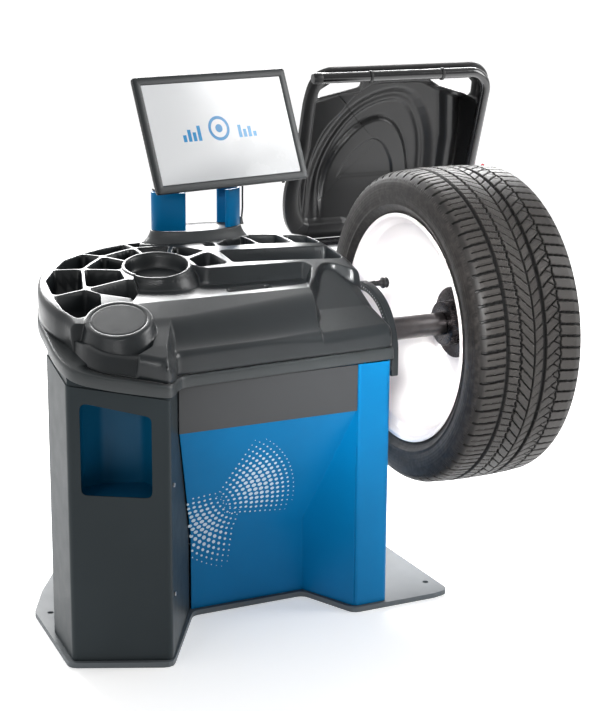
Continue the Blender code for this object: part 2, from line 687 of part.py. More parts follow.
def screen():
    collar()
    upright("monitor_upright_left", 180, 150)
    upright("monitor_upright_right", 0, 150)
    rotation = Euler(SCREEN_ROTATION)
    into = rotation.to_matrix() @ Vector((0, 1, 0))
    pivot = SCREEN_CENTRE + into * TILT_PIVOT_DEPTH
    swivel = empty("monitor_swivel_axis", pivot)
    tilt = empty("monitor_tilt_axis", (0, 0, 0), rotation, swivel)
    head_low = (UPRIGHT_CENTRE[0] - 0.104, UPRIGHT_CENTRE[1] - 0.014, UPRIGHT_TOP + GAP)
    box("monitor_head", head_low, (UPRIGHT_CENTRE[0] + 0.104, UPRIGHT_CENTRE[1] + 0.022, 0.9092), BLACK, 0.001)
    head_top = 0.9092 + GAP - pivot.z
    post = add("monitor_swivel_post", cylinder_mesh("post", 0.012, head_top, 0.004), BLACK, parent=swivel)
    turn = empty("tilt_barrel_turn", (0, 0, 0), (0, 0, SCREEN_ROTATION[2]), swivel)
    barrel = rod("tilt_barrel", -0.025, 0.025, 0.011, segments=20, axis_z=0.0, parent=turn)
    join(post, barrel)
    back = HOUSING_DEPTH - TILT_PIVOT_DEPTH
    face = -TILT_PIVOT_DEPTH
    half_w, half_h = SCREEN_SIZE[0] / 2, SCREEN_SIZE[1] / 2
    border = 0.019
    bezel = box("monitor_bezel", (-half_w, face, -half_h), (half_w, face + 0.004, half_h), BLACK, 0.001, parent=tilt)
    opening = box_mesh("bezel_opening", (border - half_w, face - 0.01, border - half_h),
                       (half_w - border, face + 0.02, half_h - border))
    cut(bezel, add("bezel_opening", opening, parent=tilt))
    glass_low = (border - half_w + GAP, face + 0.0012, border - half_h + GAP)
    glass_high = (half_w - border - GAP, face + 0.0038, half_h - border - GAP)
    box("monitor_screen", glass_low, glass_high, GLASS_GREY, parent=tilt)
    housing = box("monitor_housing", (-half_w, face + 0.0044, -half_h), (half_w, back, half_h), BLACK, 0.001, parent=tilt)
    bulge = box_mesh("housing_bulge", (-0.13, back - 0.004, -0.08), (0.13, back + 0.015, 0.08), 0.006)
    join(housing, add("housing_bulge", bulge, parent=tilt))
    plate_y = back + 0.015 + GAP
    plate = box("monitor_mount_plate", (-0.05, plate_y, -0.05), (0.05, plate_y + 0.003, 0.05), DARK_STEEL, parent=tilt)
    ears = []
    for side in (-1, 1):
        x = side * 0.030
        ear = box_mesh("ear", (x - 0.002, plate_y + 0.001, -0.013), (x + 0.002, 0.012, 0.013))
        ears.append(add(f"mount_ear_{side}", ear, parent=tilt))
    join(plate, *ears)
    button_place = (0.150, face + 0.014, -half_h)
    pocket = cylinder_mesh("button_pocket", 0.0046, -0.010, 0.005, 12)
    cut(housing, add("button_pocket", pocket, location=button_place, parent=tilt))
    button = empty("monitor_button_axis", button_place, parent=tilt)
    add("monitor_button", cylinder_mesh("monitor_button", 0.004, -0.0025, 0.0030, 12), BLACK, parent=button)
    cable_path = smooth_path([
        (-0.150, 0.352, 0.9095), (-0.146, 0.352, 0.930), (-0.132, 0.350, 0.942), (-0.122, 0.345, 0.930),
        (-0.120, 0.340, 0.912), (-0.119, 0.342, 0.880), (-0.118, 0.344, 0.850), (-0.1195, 0.346, 0.826),
    ], 3, closed=False)
    return cable_path


# Spindle and wheel


def spindle():
    ring("spindle_shaft", [
        (SHAFT_LEFT, 0), (SHAFT_RIGHT, 0), (SHAFT_RIGHT, STUB_RADIUS - 0.002), (SHAFT_RIGHT - 0.002, STUB_RADIUS),
        (FLANGE_LEFT - GAP, STUB_RADIUS), (FLANGE_LEFT - GAP, SHAFT_RADIUS), (-0.026, SHAFT_RADIUS),
        (-0.026, JOURNAL_RADIUS), (SHAFT_LEFT, JOURNAL_RADIUS),
    ], DARK_STEEL, 24)
    bore = STUB_RADIUS + GAP
    ring("hub_flange", [
        (FLANGE_LEFT, bore), (0.284, bore), (0.284, 0.046), (WHEEL_FACE, 0.046), (WHEEL_FACE, 0.085),
        (0.276, 0.085), (0.276, 0.053), (FLANGE_LEFT, 0.053),
    ], DARK_STEEL, 30)
    ring("centring_cone", [(0.288, bore), (0.326, bore), (0.326, 0.024), (0.294, 0.042), (0.288, 0.042)],
         BRIGHT_STEEL, 24)
    hub_bore = JOURNAL_RADIUS + GAP
    tube_ring("spindle_pulley", *BELT_X, hub_bore, SPINDLE_PULLEY_RADIUS, CAST_IRON)
    tube_ring("encoder_disc", -0.279, -0.2765, hub_bore, 0.040, BRIGHT_STEEL)
    for name, x in (("bearing_rear", -0.235), ("bearing_front", -0.065)):
        tube_ring(name, x, x + 0.018, hub_bore, 0.0345, BRIGHT_STEEL)
    housing = tube_ring("spindle_housing", -0.242, -0.032, 0.0350, 0.046, CAST_IRON)
    foot = box_mesh("housing_foot", (-0.205, -0.040, 0.5150), (-0.075, 0.040, 0.5600), 0.004)
    join(housing, add("housing_foot", foot))
    cut(housing, rod("housing_bore", -0.30, 0.0, 0.0350, segments=24))
    post = box("chassis_post", (-0.230, -0.045, CABINET_BOTTOM), (-0.070, 0.065, 0.500), CAST_IRON, 0.003)
    cut(post, box("post_hollow", (-0.224, -0.039, 0.0), (-0.076, 0.059, 0.492)))
    for name, x in (("force_sensor_rear", -0.185), ("force_sensor_front", -0.095)):
        sensor = cylinder_mesh(name, 0.015, 0.500 + GAP, 0.515 - GAP, 16)
        add(name, sensor, BRIGHT_STEEL, location=(x, 0, 0))


def drive():
    rod("drive_motor", -0.236, -0.105, 0.044, CAST_IRON, 24, axis_y=MOTOR_Y, axis_z=MOTOR_Z)
    low = (-0.220, 0.065 + GAP, 0.410)
    box("motor_bracket", low, (-0.120, MOTOR_Y - 0.0445, 0.510), DARK_STEEL)
    ring("motor_pulley", [
        (BELT_X[0], 0), (-0.237, 0), (-0.237, 0.006), (BELT_X[1], 0.006), (BELT_X[1], MOTOR_PULLEY_RADIUS),
        (BELT_X[0], MOTOR_PULLEY_RADIUS),
    ], CAST_IRON, 24, axis_y=MOTOR_Y, axis_z=MOTOR_Z)
    outlines = []
    for extra in (0.0035, 0.0006):
        outline = belt_outline(extra)
        outlines.append(outline)
    belt = side_prism("drive_belt", outlines[0], *BELT_X, BELT_RUBBER)
    cut(belt, side_prism("belt_inside", outlines[1], BELT_X[0] - 0.01, BELT_X[1] + 0.01))
    box("encoder_reader", (-0.284, 0.0415, 0.585), (-0.266, 0.060, 0.615), BLACK, 0.001)
    box("control_box", (-0.560, 0.255, 0.240), (-0.340, REAR_Y - 0.0045, 0.500), BAND_GREY, 0.003)


def belt_outline(extra, steps=14):
    """The loop round both pulleys, (y, z), extra outside their rims."""
    large = Vector((0.0, SHAFT_Z))
    small = Vector((MOTOR_Y, MOTOR_Z))
    big, little = SPINDLE_PULLEY_RADIUS + extra, MOTOR_PULLEY_RADIUS + extra
    across = small - large
    heading = math.atan2(across.y, across.x)
    lean = math.acos((big - little) / across.length)
    points = []
    for centre, radius, start, end in (
        (large, big, heading + lean, heading + 2 * math.pi - lean),
        (small, little, heading - lean, heading + lean),
    ):
        for step in range(steps + 1):
            angle = start + (end - start) * step / steps
            points.append(centre + Vector((math.cos(angle), math.sin(angle))) * radius)
    return points


def wheel():
    right = RIM_LEFT + RIM_WIDTH
    middle = RIM_LEFT + RIM_WIDTH / 2
    barrel = [
        (RIM_LEFT, 0.2640), (RIM_LEFT + 0.030, 0.2420), (middle, 0.2340), (right - 0.060, 0.2360), (right, 0.2640),
        (right + 0.001, RIM_RADIUS), (right - 0.006, RIM_RADIUS), (right - 0.014, 0.2560), (right - 0.045, 0.2520),
        (right - 0.070, 0.2420), (RIM_LEFT + 0.070, 0.2420), (RIM_LEFT + 0.045, 0.2520), (RIM_LEFT + 0.014, 0.2560),
        (RIM_LEFT + 0.006, RIM_RADIUS), (RIM_LEFT - 0.001, RIM_RADIUS),
    ]
    rim = ring("wheel_rim", barrel, RIM_PAINT, 40)
    stands = Matrix.Rotation(WHEEL_TURN, 3, "X") @ Matrix.Rotation(math.radians(90), 3, "Y")
    rim.rotation_euler = stands.to_euler()
    face = WHEEL_FACE + GAP
    hub = ring("rim_hub", [(face, 0.0360), (face + 0.026, 0.0360), (face + 0.030, 0.040), (face + 0.030, 0.075),
                           (face + 0.020, 0.086), (face, 0.086)], segments=30)
    hub.rotation_euler = stands.to_euler()
    spokes = []
    for index in range(5):
        turn = 2 * math.pi * index / 5 + math.radians(18) + WHEEL_TURN
        outline = [(0.070, face + 0.002), (0.070, face + 0.030), (0.242, right - 0.012), (0.242, right - 0.050)]
        mesh = prism_mesh(f"spoke_{index}", outline, -0.030, 0.030)
        # (radius, x, across) becomes (x, y, z), then turns about the spindle axis.
        mesh.transform(Matrix(((0, 1, 0, 0), (1, 0, 0, 0), (0, 0, -1, 0), (0, 0, 0, 1))))
        mesh.transform(Matrix.Translation((0, 0, SHAFT_Z)) @ Matrix.Rotation(turn, 4, "X"))
        spokes.append(add(f"spoke_{index}", mesh))
    join(rim, hub, *spokes)
    valve = cylinder_mesh("tyre_valve", 0.0042, 0, 0.042, 12)
    turn = math.radians(-104)
    start = Vector((right - 0.112, math.cos(turn) * 0.2315, SHAFT_Z + math.sin(turn) * 0.2315))
    heading = Vector((-0.35, -math.cos(turn) * 0.9, -math.sin(turn) * 0.9))
    add("tyre_valve", valve, BLACK, location=start, rotation=heading.to_track_quat("Z", "Y").to_euler())
    half = TYRE_WIDTH / 2
    bead = RIM_WIDTH / 2
    right_half = [
        (bead - 0.0240, 0.3560), (bead - 0.0090, 0.3180), (bead - 0.0240, 0.2760), (bead - 0.0280, 0.2573),
        (bead - 0.0145, 0.2573), (bead - 0.0070, 0.2725), (bead + 0.0035, 0.2900), (half, 0.3180),
        (half - 0.010, 0.3560), (half - 0.034, 0.3685), (0.0500, TYRE_RADIUS),
    ]
    left_half = [(-x, radius) for x, radius in right_half[::-1]]
    ring("tyre", [(middle + x, radius) for x, radius in right_half + left_half], TYRE_RUBBER, 40)


def quick_nut():
    bore = STUB_RADIUS + GAP
    face = WHEEL_FACE + 0.0312
    slider = empty("nut_slide_axis", (0, 0, 0))
    ring("nut_cup", [(face + 0.012, bore), (face + 0.016, bore), (face + 0.016, 0.050), (face + 0.012, 0.054),
                     (face, 0.058), (face, 0.050), (face + 0.012, 0.046)], BLACK, 24, parent=slider)
    turner = empty("nut_turn_axis", (0, 0, SHAFT_Z), parent=slider)
    start = face + 0.0165
    sleeve = ring("nut_sleeve", [(start, bore), (start + 0.050, bore), (start + 0.050, 0.030), (start + 0.030, 0.036),
                                 (start, 0.036)], DARK_STEEL, 24, axis_z=0.0, parent=turner)
    sleeve_end = start + 0.010
    for name, side in (("nut_handle_upper", 1), ("nut_handle_lower", -1)):
        outline = rounded([(-0.014, 0.028), (0.014, 0.028), (0.010, 0.104), (-0.010, 0.104)], 0.006, 3)
        outline = [(point.x * side, point.y * side) for point in outline]
        join(sleeve, side_prism(name, outline, sleeve_end, sleeve_end + 0.018, parent=turner))


# Gauge


def gauge():
    slide = empty("gauge_slide_axis", (0, 0, 0))
    rod("gauge_rod", -0.250, GAUGE_X[0] - GAP, 0.0075, BRIGHT_STEEL, 20, axis_y=GAUGE_Y, axis_z=GAUGE_Z, parent=slide)
    tube_ring("gauge_guide", -0.040, -0.0045, 0.0080, 0.016, BLACK, 24, axis_y=GAUGE_Y, axis_z=GAUGE_Z)
    swing = empty("gauge_swing_axis", (0, GAUGE_Y, GAUGE_Z), parent=slide)
    centre_line = [(y - GAUGE_Y, z - GAUGE_Z) for y, z in GAUGE_ARM]
    side_prism("gauge_arm", bent_bar(centre_line, 0.020), *GAUGE_X, TRAY_GREY, parent=swing)
    tip_y, tip_z = centre_line[-1]
    left = GAUGE_X[1] + GAP
    ring("gauge_probe", [
        (left, 0), (0.092, 0), (0.092, 0.006), (0.088, 0.012), (0.074, 0.013), (0.070, 0.007), (left, 0.006),
    ], BLACK, 20, axis_y=tip_y, axis_z=tip_z, parent=swing)


# Guard


def guard_outline(inset, radius):
    (left, right), (low, high) = GUARD_X, GUARD_V
    corners = [(left + inset, low + inset), (right - inset, low + inset), (right - inset, high - inset),
               (left + inset, high - inset)]
    return rounded(corners, radius, 5)


def guard_shell(pivot):
    """A deep moulded pan behind a flat lip."""
    face = TUBE_RADIUS + 0.0015
    levels = [(0.0, 0.050, face), (0.024, 0.045, face), (0.036, 0.045, 0.090), (0.070, 0.060, GUARD_DEPTH)]
    bm = bmesh.new()
    rows = [[bm.verts.new((p.x, depth, p.y)) for p in guard_outline(inset, radius)] for inset, radius, depth in levels]
    count = len(rows[0])
    for first, second in zip(rows, rows[1:]):
        for index in range(count):
            after = (index + 1) % count
            bm.faces.new((first[index], first[after], second[after], second[index]))
    bm.faces.new(rows[-1])
    mesh = bpy.data.meshes.new("guard_shell")
    bmesh.ops.recalc_face_normals(bm, faces=bm.faces)
    bm.to_mesh(mesh)
    bm.free()
    shell = add("guard_shell", mesh, GUARD_BLACK, parent=pivot)
    solid = shell.modifiers.new("thickness", "SOLIDIFY")
    solid.thickness = 0.004
    solid.offset = 1
    solid.use_even_offset = True


def guard():
    pivot = empty("guard_axis", GUARD_PIVOT, (GUARD_LEAN, 0, 0))
    corner = [
        (-0.135, 0), (TUBE_LEG_X, 0), (TUBE_LEG_X, TUBE_TOP_V), (0.128, TUBE_TOP_V),
    ]
    path = rounded(corner, TUBE_BEND, 6, closed=False)
    pipe("guard_tube", [(point.x, 0, point.y) for point in path], TUBE_RADIUS, BLACK, sides=4, parent=pivot)
    ring("guard_end_cap", [(0.104, 0), (0.1276, 0), (0.1276, 0.0145), (0.107, 0.0145), (0.104, 0.012)], BLACK,
         20, axis_z=TUBE_TOP_V, parent=pivot)
    guard_shell(pivot)
    for name, x in (("guard_tie_left", 0.262), ("guard_tie_right", 0.470)):
        tube_ring(name, x, x + 0.007, TUBE_RADIUS + GAP, TUBE_RADIUS + 0.0018, BLACK, 20,
                  axis_z=TUBE_TOP_V, parent=pivot)
    outline = rounded([(0.3335, 0.420), (0.3335, 0.580), (0.400, 0.620), (0.515, 0.742), (0.588, 0.742),
                       (0.588, 0.655), (0.450, 0.500)], 0.012)
    bracket = side_prism("guard_bracket", outline, -0.115, -0.035, CAST_IRON)
    journal = rod("journal_bore", -0.20, 0.05, TUBE_RADIUS + 0.0006, segments=24, axis_y=GUARD_PIVOT.y,
                  axis_z=GUARD_PIVOT.z)
    cut(bracket, journal)
    box("guard_switch", (-0.0345, 0.440, 0.620), (-0.012, 0.470, 0.660), BLACK, 0.001)
    hook = smooth_path([(0.6335, 0, 0.165), (0.648, 0, 0.168), (0.658, 0, 0.182), (0.655, 0, 0.200)], 3, closed=False)
    pipe("guard_hook", hook, 0.0045, RED, parent=pivot)


def main():
    floor_plate()
    front_panel()
    right_side()
    pod()
    rear_and_left()
    weight_tray()
    cable_path = screen()
    pipe("monitor_cable", cable_path, 0.0022, BLACK, sides=1)
    spindle()
    drive()
    wheel()
    quick_nut()
    gauge()
    guard()


main()
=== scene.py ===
"""The look of the wheel balancer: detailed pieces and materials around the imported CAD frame, in metres."""

import math

import bmesh
import bpy
import numpy as np
from mathutils import Euler, Matrix, Vector
from mathutils.bvhtree import BVHTree


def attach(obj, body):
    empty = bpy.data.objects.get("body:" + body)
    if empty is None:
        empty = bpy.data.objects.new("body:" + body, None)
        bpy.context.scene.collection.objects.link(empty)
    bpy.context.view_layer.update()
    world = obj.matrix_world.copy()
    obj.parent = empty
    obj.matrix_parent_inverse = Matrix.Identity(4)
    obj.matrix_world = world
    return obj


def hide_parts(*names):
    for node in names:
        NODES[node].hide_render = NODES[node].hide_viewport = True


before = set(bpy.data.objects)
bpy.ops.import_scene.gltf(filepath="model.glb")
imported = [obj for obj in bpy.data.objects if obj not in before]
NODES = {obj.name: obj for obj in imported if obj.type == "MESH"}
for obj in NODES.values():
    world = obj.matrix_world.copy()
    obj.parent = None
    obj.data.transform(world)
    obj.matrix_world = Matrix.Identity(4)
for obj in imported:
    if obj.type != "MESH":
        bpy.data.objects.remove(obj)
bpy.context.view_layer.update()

# The CAD's own sizes, in its frame: x 0 at the column's right face, y 0 at the spindle axis, z 0 on the floor
SHAFT_Z = 0.600
SHAFT_RADIUS = 0.027
RIM_RIGHT = 0.397
TYRE_LEFT, TYRE_RIGHT, TYRE_RADIUS = 0.126, 0.406, 0.372
WHEEL_FACE = 0.310
SKIRT_HEIGHT = 0.027
GAUGE_X = (0.0125, 0.0325)
GUARD_PIVOT = Vector((0, 0.550, 0.700))
GUARD_LEAN = math.radians(17)
GUARD_X = (0.090, 0.632)
GUARD_V = (0.008, 0.483)
TUBE_RADIUS = 0.0135
TUBE_TOP_V = 0.466
SCREEN_CENTRE = Vector((-0.188, 0.300, 1.048))
SCREEN_SIZE = (0.436, 0.276)
SCREEN_ROTATION = (math.radians(-22), 0, math.radians(11.6))
UPRIGHT_CENTRE = (-0.240, 0.345)
UPRIGHT_AXES = (0.108, 0.046)
POD_TOP = 0.5846
UPRIGHT_Z = (0.8122, 0.9029)


# Camera

CAMERA_PLACE = (-1.8406, -3.4639, 1.5709)
CAMERA_LENS = 88.15
# Heading, tilt up from straight down, and roll, in degrees
CAMERA_ANGLES = (-26.2957, 90 - 14.6368, 0.4699)


def make_camera():
    data = bpy.data.cameras.new("camera")
    data.sensor_width = 36
    data.lens = CAMERA_LENS
    camera = bpy.data.objects.new("camera", data)
    bpy.context.scene.collection.objects.link(camera)
    turn, pitch, roll = (Matrix.Rotation(math.radians(angle), 4, axis) for angle, axis in zip(CAMERA_ANGLES, "ZXZ"))
    camera.matrix_world = Matrix.Translation(CAMERA_PLACE) @ turn @ pitch @ roll
    bpy.context.scene.camera = camera


make_camera()


# Curves and outlines


def smooth_path(points, steps, closed=False):
    """A curve through the points that never swings past them."""
    points = [Vector(point) for point in points]
    count = len(points)
    slopes = []
    for index in range(count):
        before = points[index - 1] if closed or index else points[index]
        after = points[(index + 1) % count] if closed or index < count - 1 else points[index]
        ahead, back = after - points[index], points[index] - before
        slope = []
        for a, b in zip(ahead, back):
            slope.append(0.0 if a * b <= 0 else math.copysign(min(abs(a + b) / 2, 3 * min(abs(a), abs(b))), a))
        slopes.append(Vector(slope))
    path = []
    for index in range(count if closed else count - 1):
        after = (index + 1) % count
        for step in range(steps):
            t = step / steps
            t2, t3 = t * t, t * t * t
            path.append(
                points[index] * (2 * t3 - 3 * t2 + 1) + slopes[index] * (t3 - 2 * t2 + t)
                + points[after] * (3 * t2 - 2 * t3) + slopes[after] * (t3 - t2)
            )
    if not closed:
        path.append(points[-1])
    return path


def smooth_plan(points, steps=3):
    """A smooth open line through plan points, as plain pairs."""
    return [tuple(point[:2]) for point in smooth_path([(*p, 0) for p in points], steps)]


def fillet(points, radius, steps=5, closed=True):
    """An outline with its corners rounded. The radius is one number, or one for each corner."""
    points = [Vector(point) for point in points]
    count = len(points)
    radii = radius if hasattr(radius, "__len__") else [radius] * count
    made = []
    for index, corner in enumerate(points):
        if radii[index] <= 0 or (not closed and index in (0, count - 1)):
            made.append(corner)
            continue
        before = points[index - 1] - corner
        after = points[(index + 1) % count] - corner
        half = before.angle(after) / 2
        if half > math.radians(89.9):
            made.append(corner)
            continue
        back = min(radii[index] / math.tan(half), before.length * 0.49, after.length * 0.49)
        start = corner + before.normalized() * back
        end = corner + after.normalized() * back
        turn = math.pi - 2 * half
        for step in range(steps + 1):
            t = step / steps
            weight = (1 - t) ** 2, 2 * t * (1 - t) * math.cos(turn / 2), t * t
            made.append((start * weight[0] + corner * weight[1] + end * weight[2]) / sum(weight))
    return made


def rectangle(half_w, half_h, radius, steps=5, x=0.0, y=0.0):
    """A rectangle with rounded corners, centred on (x, y)."""
    left, right, low, high = x - half_w, x + half_w, y - half_h, y + half_h
    return fillet([(left, low), (right, low), (right, high), (left, high)], radius, steps)


def resampled(points, spacing, closed=True):
    """The same line with points at an even spacing."""
    line = np.array([tuple(point) for point in points], float)
    if closed:
        line = np.vstack([line, line[:1]])
    run = np.concatenate([[0], np.cumsum(np.linalg.norm(np.diff(line[:, :2], axis=0), axis=1))])
    count = max(3, int(round(run[-1] / spacing)))
    where = np.linspace(0, run[-1], count, endpoint=False) if closed else np.linspace(0, run[-1], count)
    return np.stack([np.interp(where, run, line[:, axis]) for axis in range(line.shape[1])], axis=1)


def left_normals(line):
    """Unit normals on the left of a closed line of plan points."""
    ahead = np.roll(line, -1, axis=0) - np.roll(line, 1, axis=0)
    normals = np.stack([-ahead[:, 1], ahead[:, 0]], axis=1)
    return normals / np.linalg.norm(normals, axis=1)[:, None]


def averaged(values, reach):
    """Values round a closed line, each averaged with its neighbours on both sides."""
    ends = np.concatenate([values[-reach:], values, values[:reach]])
    return np.convolve(ends, np.ones(2 * reach + 1) / (2 * reach + 1), "valid")


# Meshes


def make_mesh(name, verts, faces):
    mesh = bpy.data.meshes.new(name)
    mesh.from_pydata([tuple(v) for v in verts], [], [tuple(f) for f in faces])
    bm = bmesh.new()
    bm.from_mesh(mesh)
    bmesh.ops.recalc_face_normals(bm, faces=bm.faces)
    bm.to_mesh(mesh)
    bm.free()
    return mesh


def strip_faces(rows, columns, wrap_rows=False, wrap_columns=False):
    """Quads between the rows of a grid of points, numbered row by row."""
    r = np.arange(rows if wrap_rows else rows - 1)
    c = np.arange(columns if wrap_columns else columns - 1)
    r, c = (a.ravel() for a in np.meshgrid(r, c, indexing="ij"))
    r2, c2 = (r + 1) % rows, (c + 1) % columns
    return np.stack([r * columns + c, r * columns + c2, r2 * columns + c2, r2 * columns + c], axis=1).tolist()


def loft(name, rows, ring=False):
    """A skin over closed rows of points with the same number in each. A ring joins its last row to its first."""
    rows = [[tuple(point) for point in row] for row in rows]
    columns = len(rows[0])
    faces = strip_faces(len(rows), columns, wrap_rows=ring, wrap_columns=True)
    if not ring:
        faces.append(list(range(columns))[::-1])
        faces.append(list(range((len(rows) - 1) * columns, len(rows) * columns)))
    return make_mesh(name, [point for row in rows for point in row], faces)


def lathe(name, profile, steps=96, place=(0.0, SHAFT_Z)):
    """A profile of (x, radius) turned about a line along X at (y, z)."""
    rows = []
    for step in range(steps):
        angle = 2 * math.pi * step / steps
        cos, sin = math.cos(angle), math.sin(angle)
        rows.append([(x, place[0] + radius * cos, place[1] + radius * sin) for x, radius in profile])
    mesh = loft(name, rows, ring=True)
    bm = bmesh.new()
    bm.from_mesh(mesh)
    bmesh.ops.remove_doubles(bm, verts=bm.verts, dist=1e-6)
    bm.to_mesh(mesh)
    bm.free()
    return mesh


def tube(name, path, radius, sides=20):
    """A round bar along a path. The radius is one number, or one for each point."""
    path = [Vector(point) for point in path]
    radii = radius if hasattr(radius, "__len__") else [radius] * len(path)
    rows = []
    side = None
    for index, point in enumerate(path):
        ahead = path[min(index + 1, len(path) - 1)] - path[max(index - 1, 0)]
        ahead.normalize()
        if side is None:
            side = ahead.orthogonal().normalized()
        side = (side - ahead * side.dot(ahead)).normalized()
        across = ahead.cross(side)
        ring = []
        for step in range(sides):
            angle = 2 * math.pi * step / sides
            ring.append(point + (side * math.cos(angle) + across * math.sin(angle)) * radii[index])
        rows.append(ring)
    return loft(name, rows)


def prism(name, outline, low, high, axis="z", soft=0.0015, steps=3):
    """An outline pushed along an axis, with rounded rims. Along x the outline is (y, z), along y it is (x, z)."""
    outline = [Vector(point) for point in outline]
    rows = []
    levels = []
    for step in range(steps + 1):
        angle = math.pi / 2 * step / steps
        levels.append((soft * (1 - math.sin(angle)), low + soft * (1 - math.cos(angle))))
    levels += [(inset, high - (level - low)) for inset, level in levels[::-1]]
    for inset, level in levels:
        row = []
        for index, point in enumerate(outline):
            along = outline[(index + 1) % len(outline)] - outline[index - 1]
            normal = Vector((along.y, -along.x)).normalized()
            row.append(point - normal * inset * turn_sign(outline))
        rows.append(row)
    place = {
        "x": lambda p, level: (level, p.x, p.y),
        "y": lambda p, level: (p.x, level, p.y),
        "z": lambda p, level: (p.x, p.y, level),
    }[axis]
    return loft(name, [[place(p, level) for p in row] for row, (_, level) in zip(rows, levels)])


def turn_sign(outline):
    area = sum(a.x * b.y - b.x * a.y for a, b in zip(outline, outline[1:] + outline[:1]))
    return 1 if area > 0 else -1


def joined(name, *meshes):
    """Several meshes as one, for a piece moulded or welded from overlapping forms."""
    bm = bmesh.new()
    for mesh in meshes:
        bm.from_mesh(mesh)
    made = bpy.data.meshes.new(name)
    bm.to_mesh(made)
    bm.free()
    return made


def carved(mesh, cutters, solver, before=(), after=()):
    """A mesh with other forms cut out. Modifiers before and after the cut are given as kinds with settings."""
    body = bpy.data.objects.new("body", mesh)
    tool = bpy.data.objects.new("tool", joined("tool", *cutters))
    for temporary in (body, tool):
        bpy.context.scene.collection.objects.link(temporary)
    cut = ("BOOLEAN", {"operation": "DIFFERENCE", "solver": solver, "object": tool})
    for kind, settings in (*before, cut, *after):
        modifier = body.modifiers.new(kind.lower(), kind)
        for setting, value in settings.items():
            setattr(modifier, setting, value)
    graph = bpy.context.evaluated_depsgraph_get()
    made = bpy.data.meshes.new_from_object(body.evaluated_get(graph))
    for temporary in (body, tool):
        bpy.data.objects.remove(temporary)
    made.materials.clear()
    return made


def piece(name, mesh, body, slot, finish, *replaced, sharp=38):
    """A visible piece that rides on a body and stands for the CAD nodes named."""
    made = bpy.data.objects.new(name, mesh)
    bpy.context.scene.collection.objects.link(made)
    if sharp:
        mesh.shade_smooth()
        mesh.set_sharp_from_angle(angle=math.radians(sharp))
    mesh.materials.append(finish.material)
    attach(made, body)
    if replaced:
        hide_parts(*replaced)
    return made


def dress(names, finish, bevel=0.0008):
    """A better finish and softened edges on CAD nodes whose shape stays."""
    for name in names.split():
        node = NODES[name]
        node.data.materials.clear()
        node.data.materials.append(finish.material)
        node.data.shade_smooth()
        weld = node.modifiers.new("weld", "WELD")
        weld.merge_threshold = 1e-5
        if bevel:
            edge = node.modifiers.new("edge", "BEVEL")
            edge.width = bevel
            edge.segments = 2
            edge.limit_method = "ANGLE"
            edge.angle_limit = math.radians(28)
            edge.use_clamp_overlap = True
        normals = node.modifiers.new("normals", "WEIGHTED_NORMAL")
        normals.weight = 60


# Materials


class Field:
    """A number worked out at each point of a surface. Arithmetic on it adds Math nodes."""

    def __init__(self, tree, socket):
        self.tree = tree
        self.socket = socket

    def math(self, kind, *others, clamp=False):
        node = self.tree.nodes.new("ShaderNodeMath")
        node.operation = kind
        node.use_clamp = clamp
        for socket, value in zip(node.inputs, (self, *others)):
            if isinstance(value, Field):
                self.tree.links.new(value.socket, socket)
            else:
                socket.default_value = value
        return Field(self.tree, node.outputs[0])

    def __add__(self, other):
        return self.math("ADD", other)

    def __sub__(self, other):
        return self.math("SUBTRACT", other)

    def __mul__(self, other):
        return self.math("MULTIPLY", other)

    def __truediv__(self, other):
        return self.math("DIVIDE", other)

    def frac(self):
        return self.math("FRACT")

    def abs(self):
        return self.math("ABSOLUTE")

    def rise(self, low, high):
        """0 below low, 1 above high, and smooth in between."""
        node = self.tree.nodes.new("ShaderNodeMapRange")
        node.interpolation_type = "SMOOTHSTEP"
        self.tree.links.new(self.socket, node.inputs["Value"])
        node.inputs["From Min"].default_value = low
        node.inputs["From Max"].default_value = high
        return Field(self.tree, node.outputs[0])

    def near(self, centre, half, soft):
        """1 within half of centre, fading to 0 over soft."""
        away = (self - centre).abs()
        return away.rise(half + soft, half)

    def scaled(self, low, high):
        return self * (high - low) + low


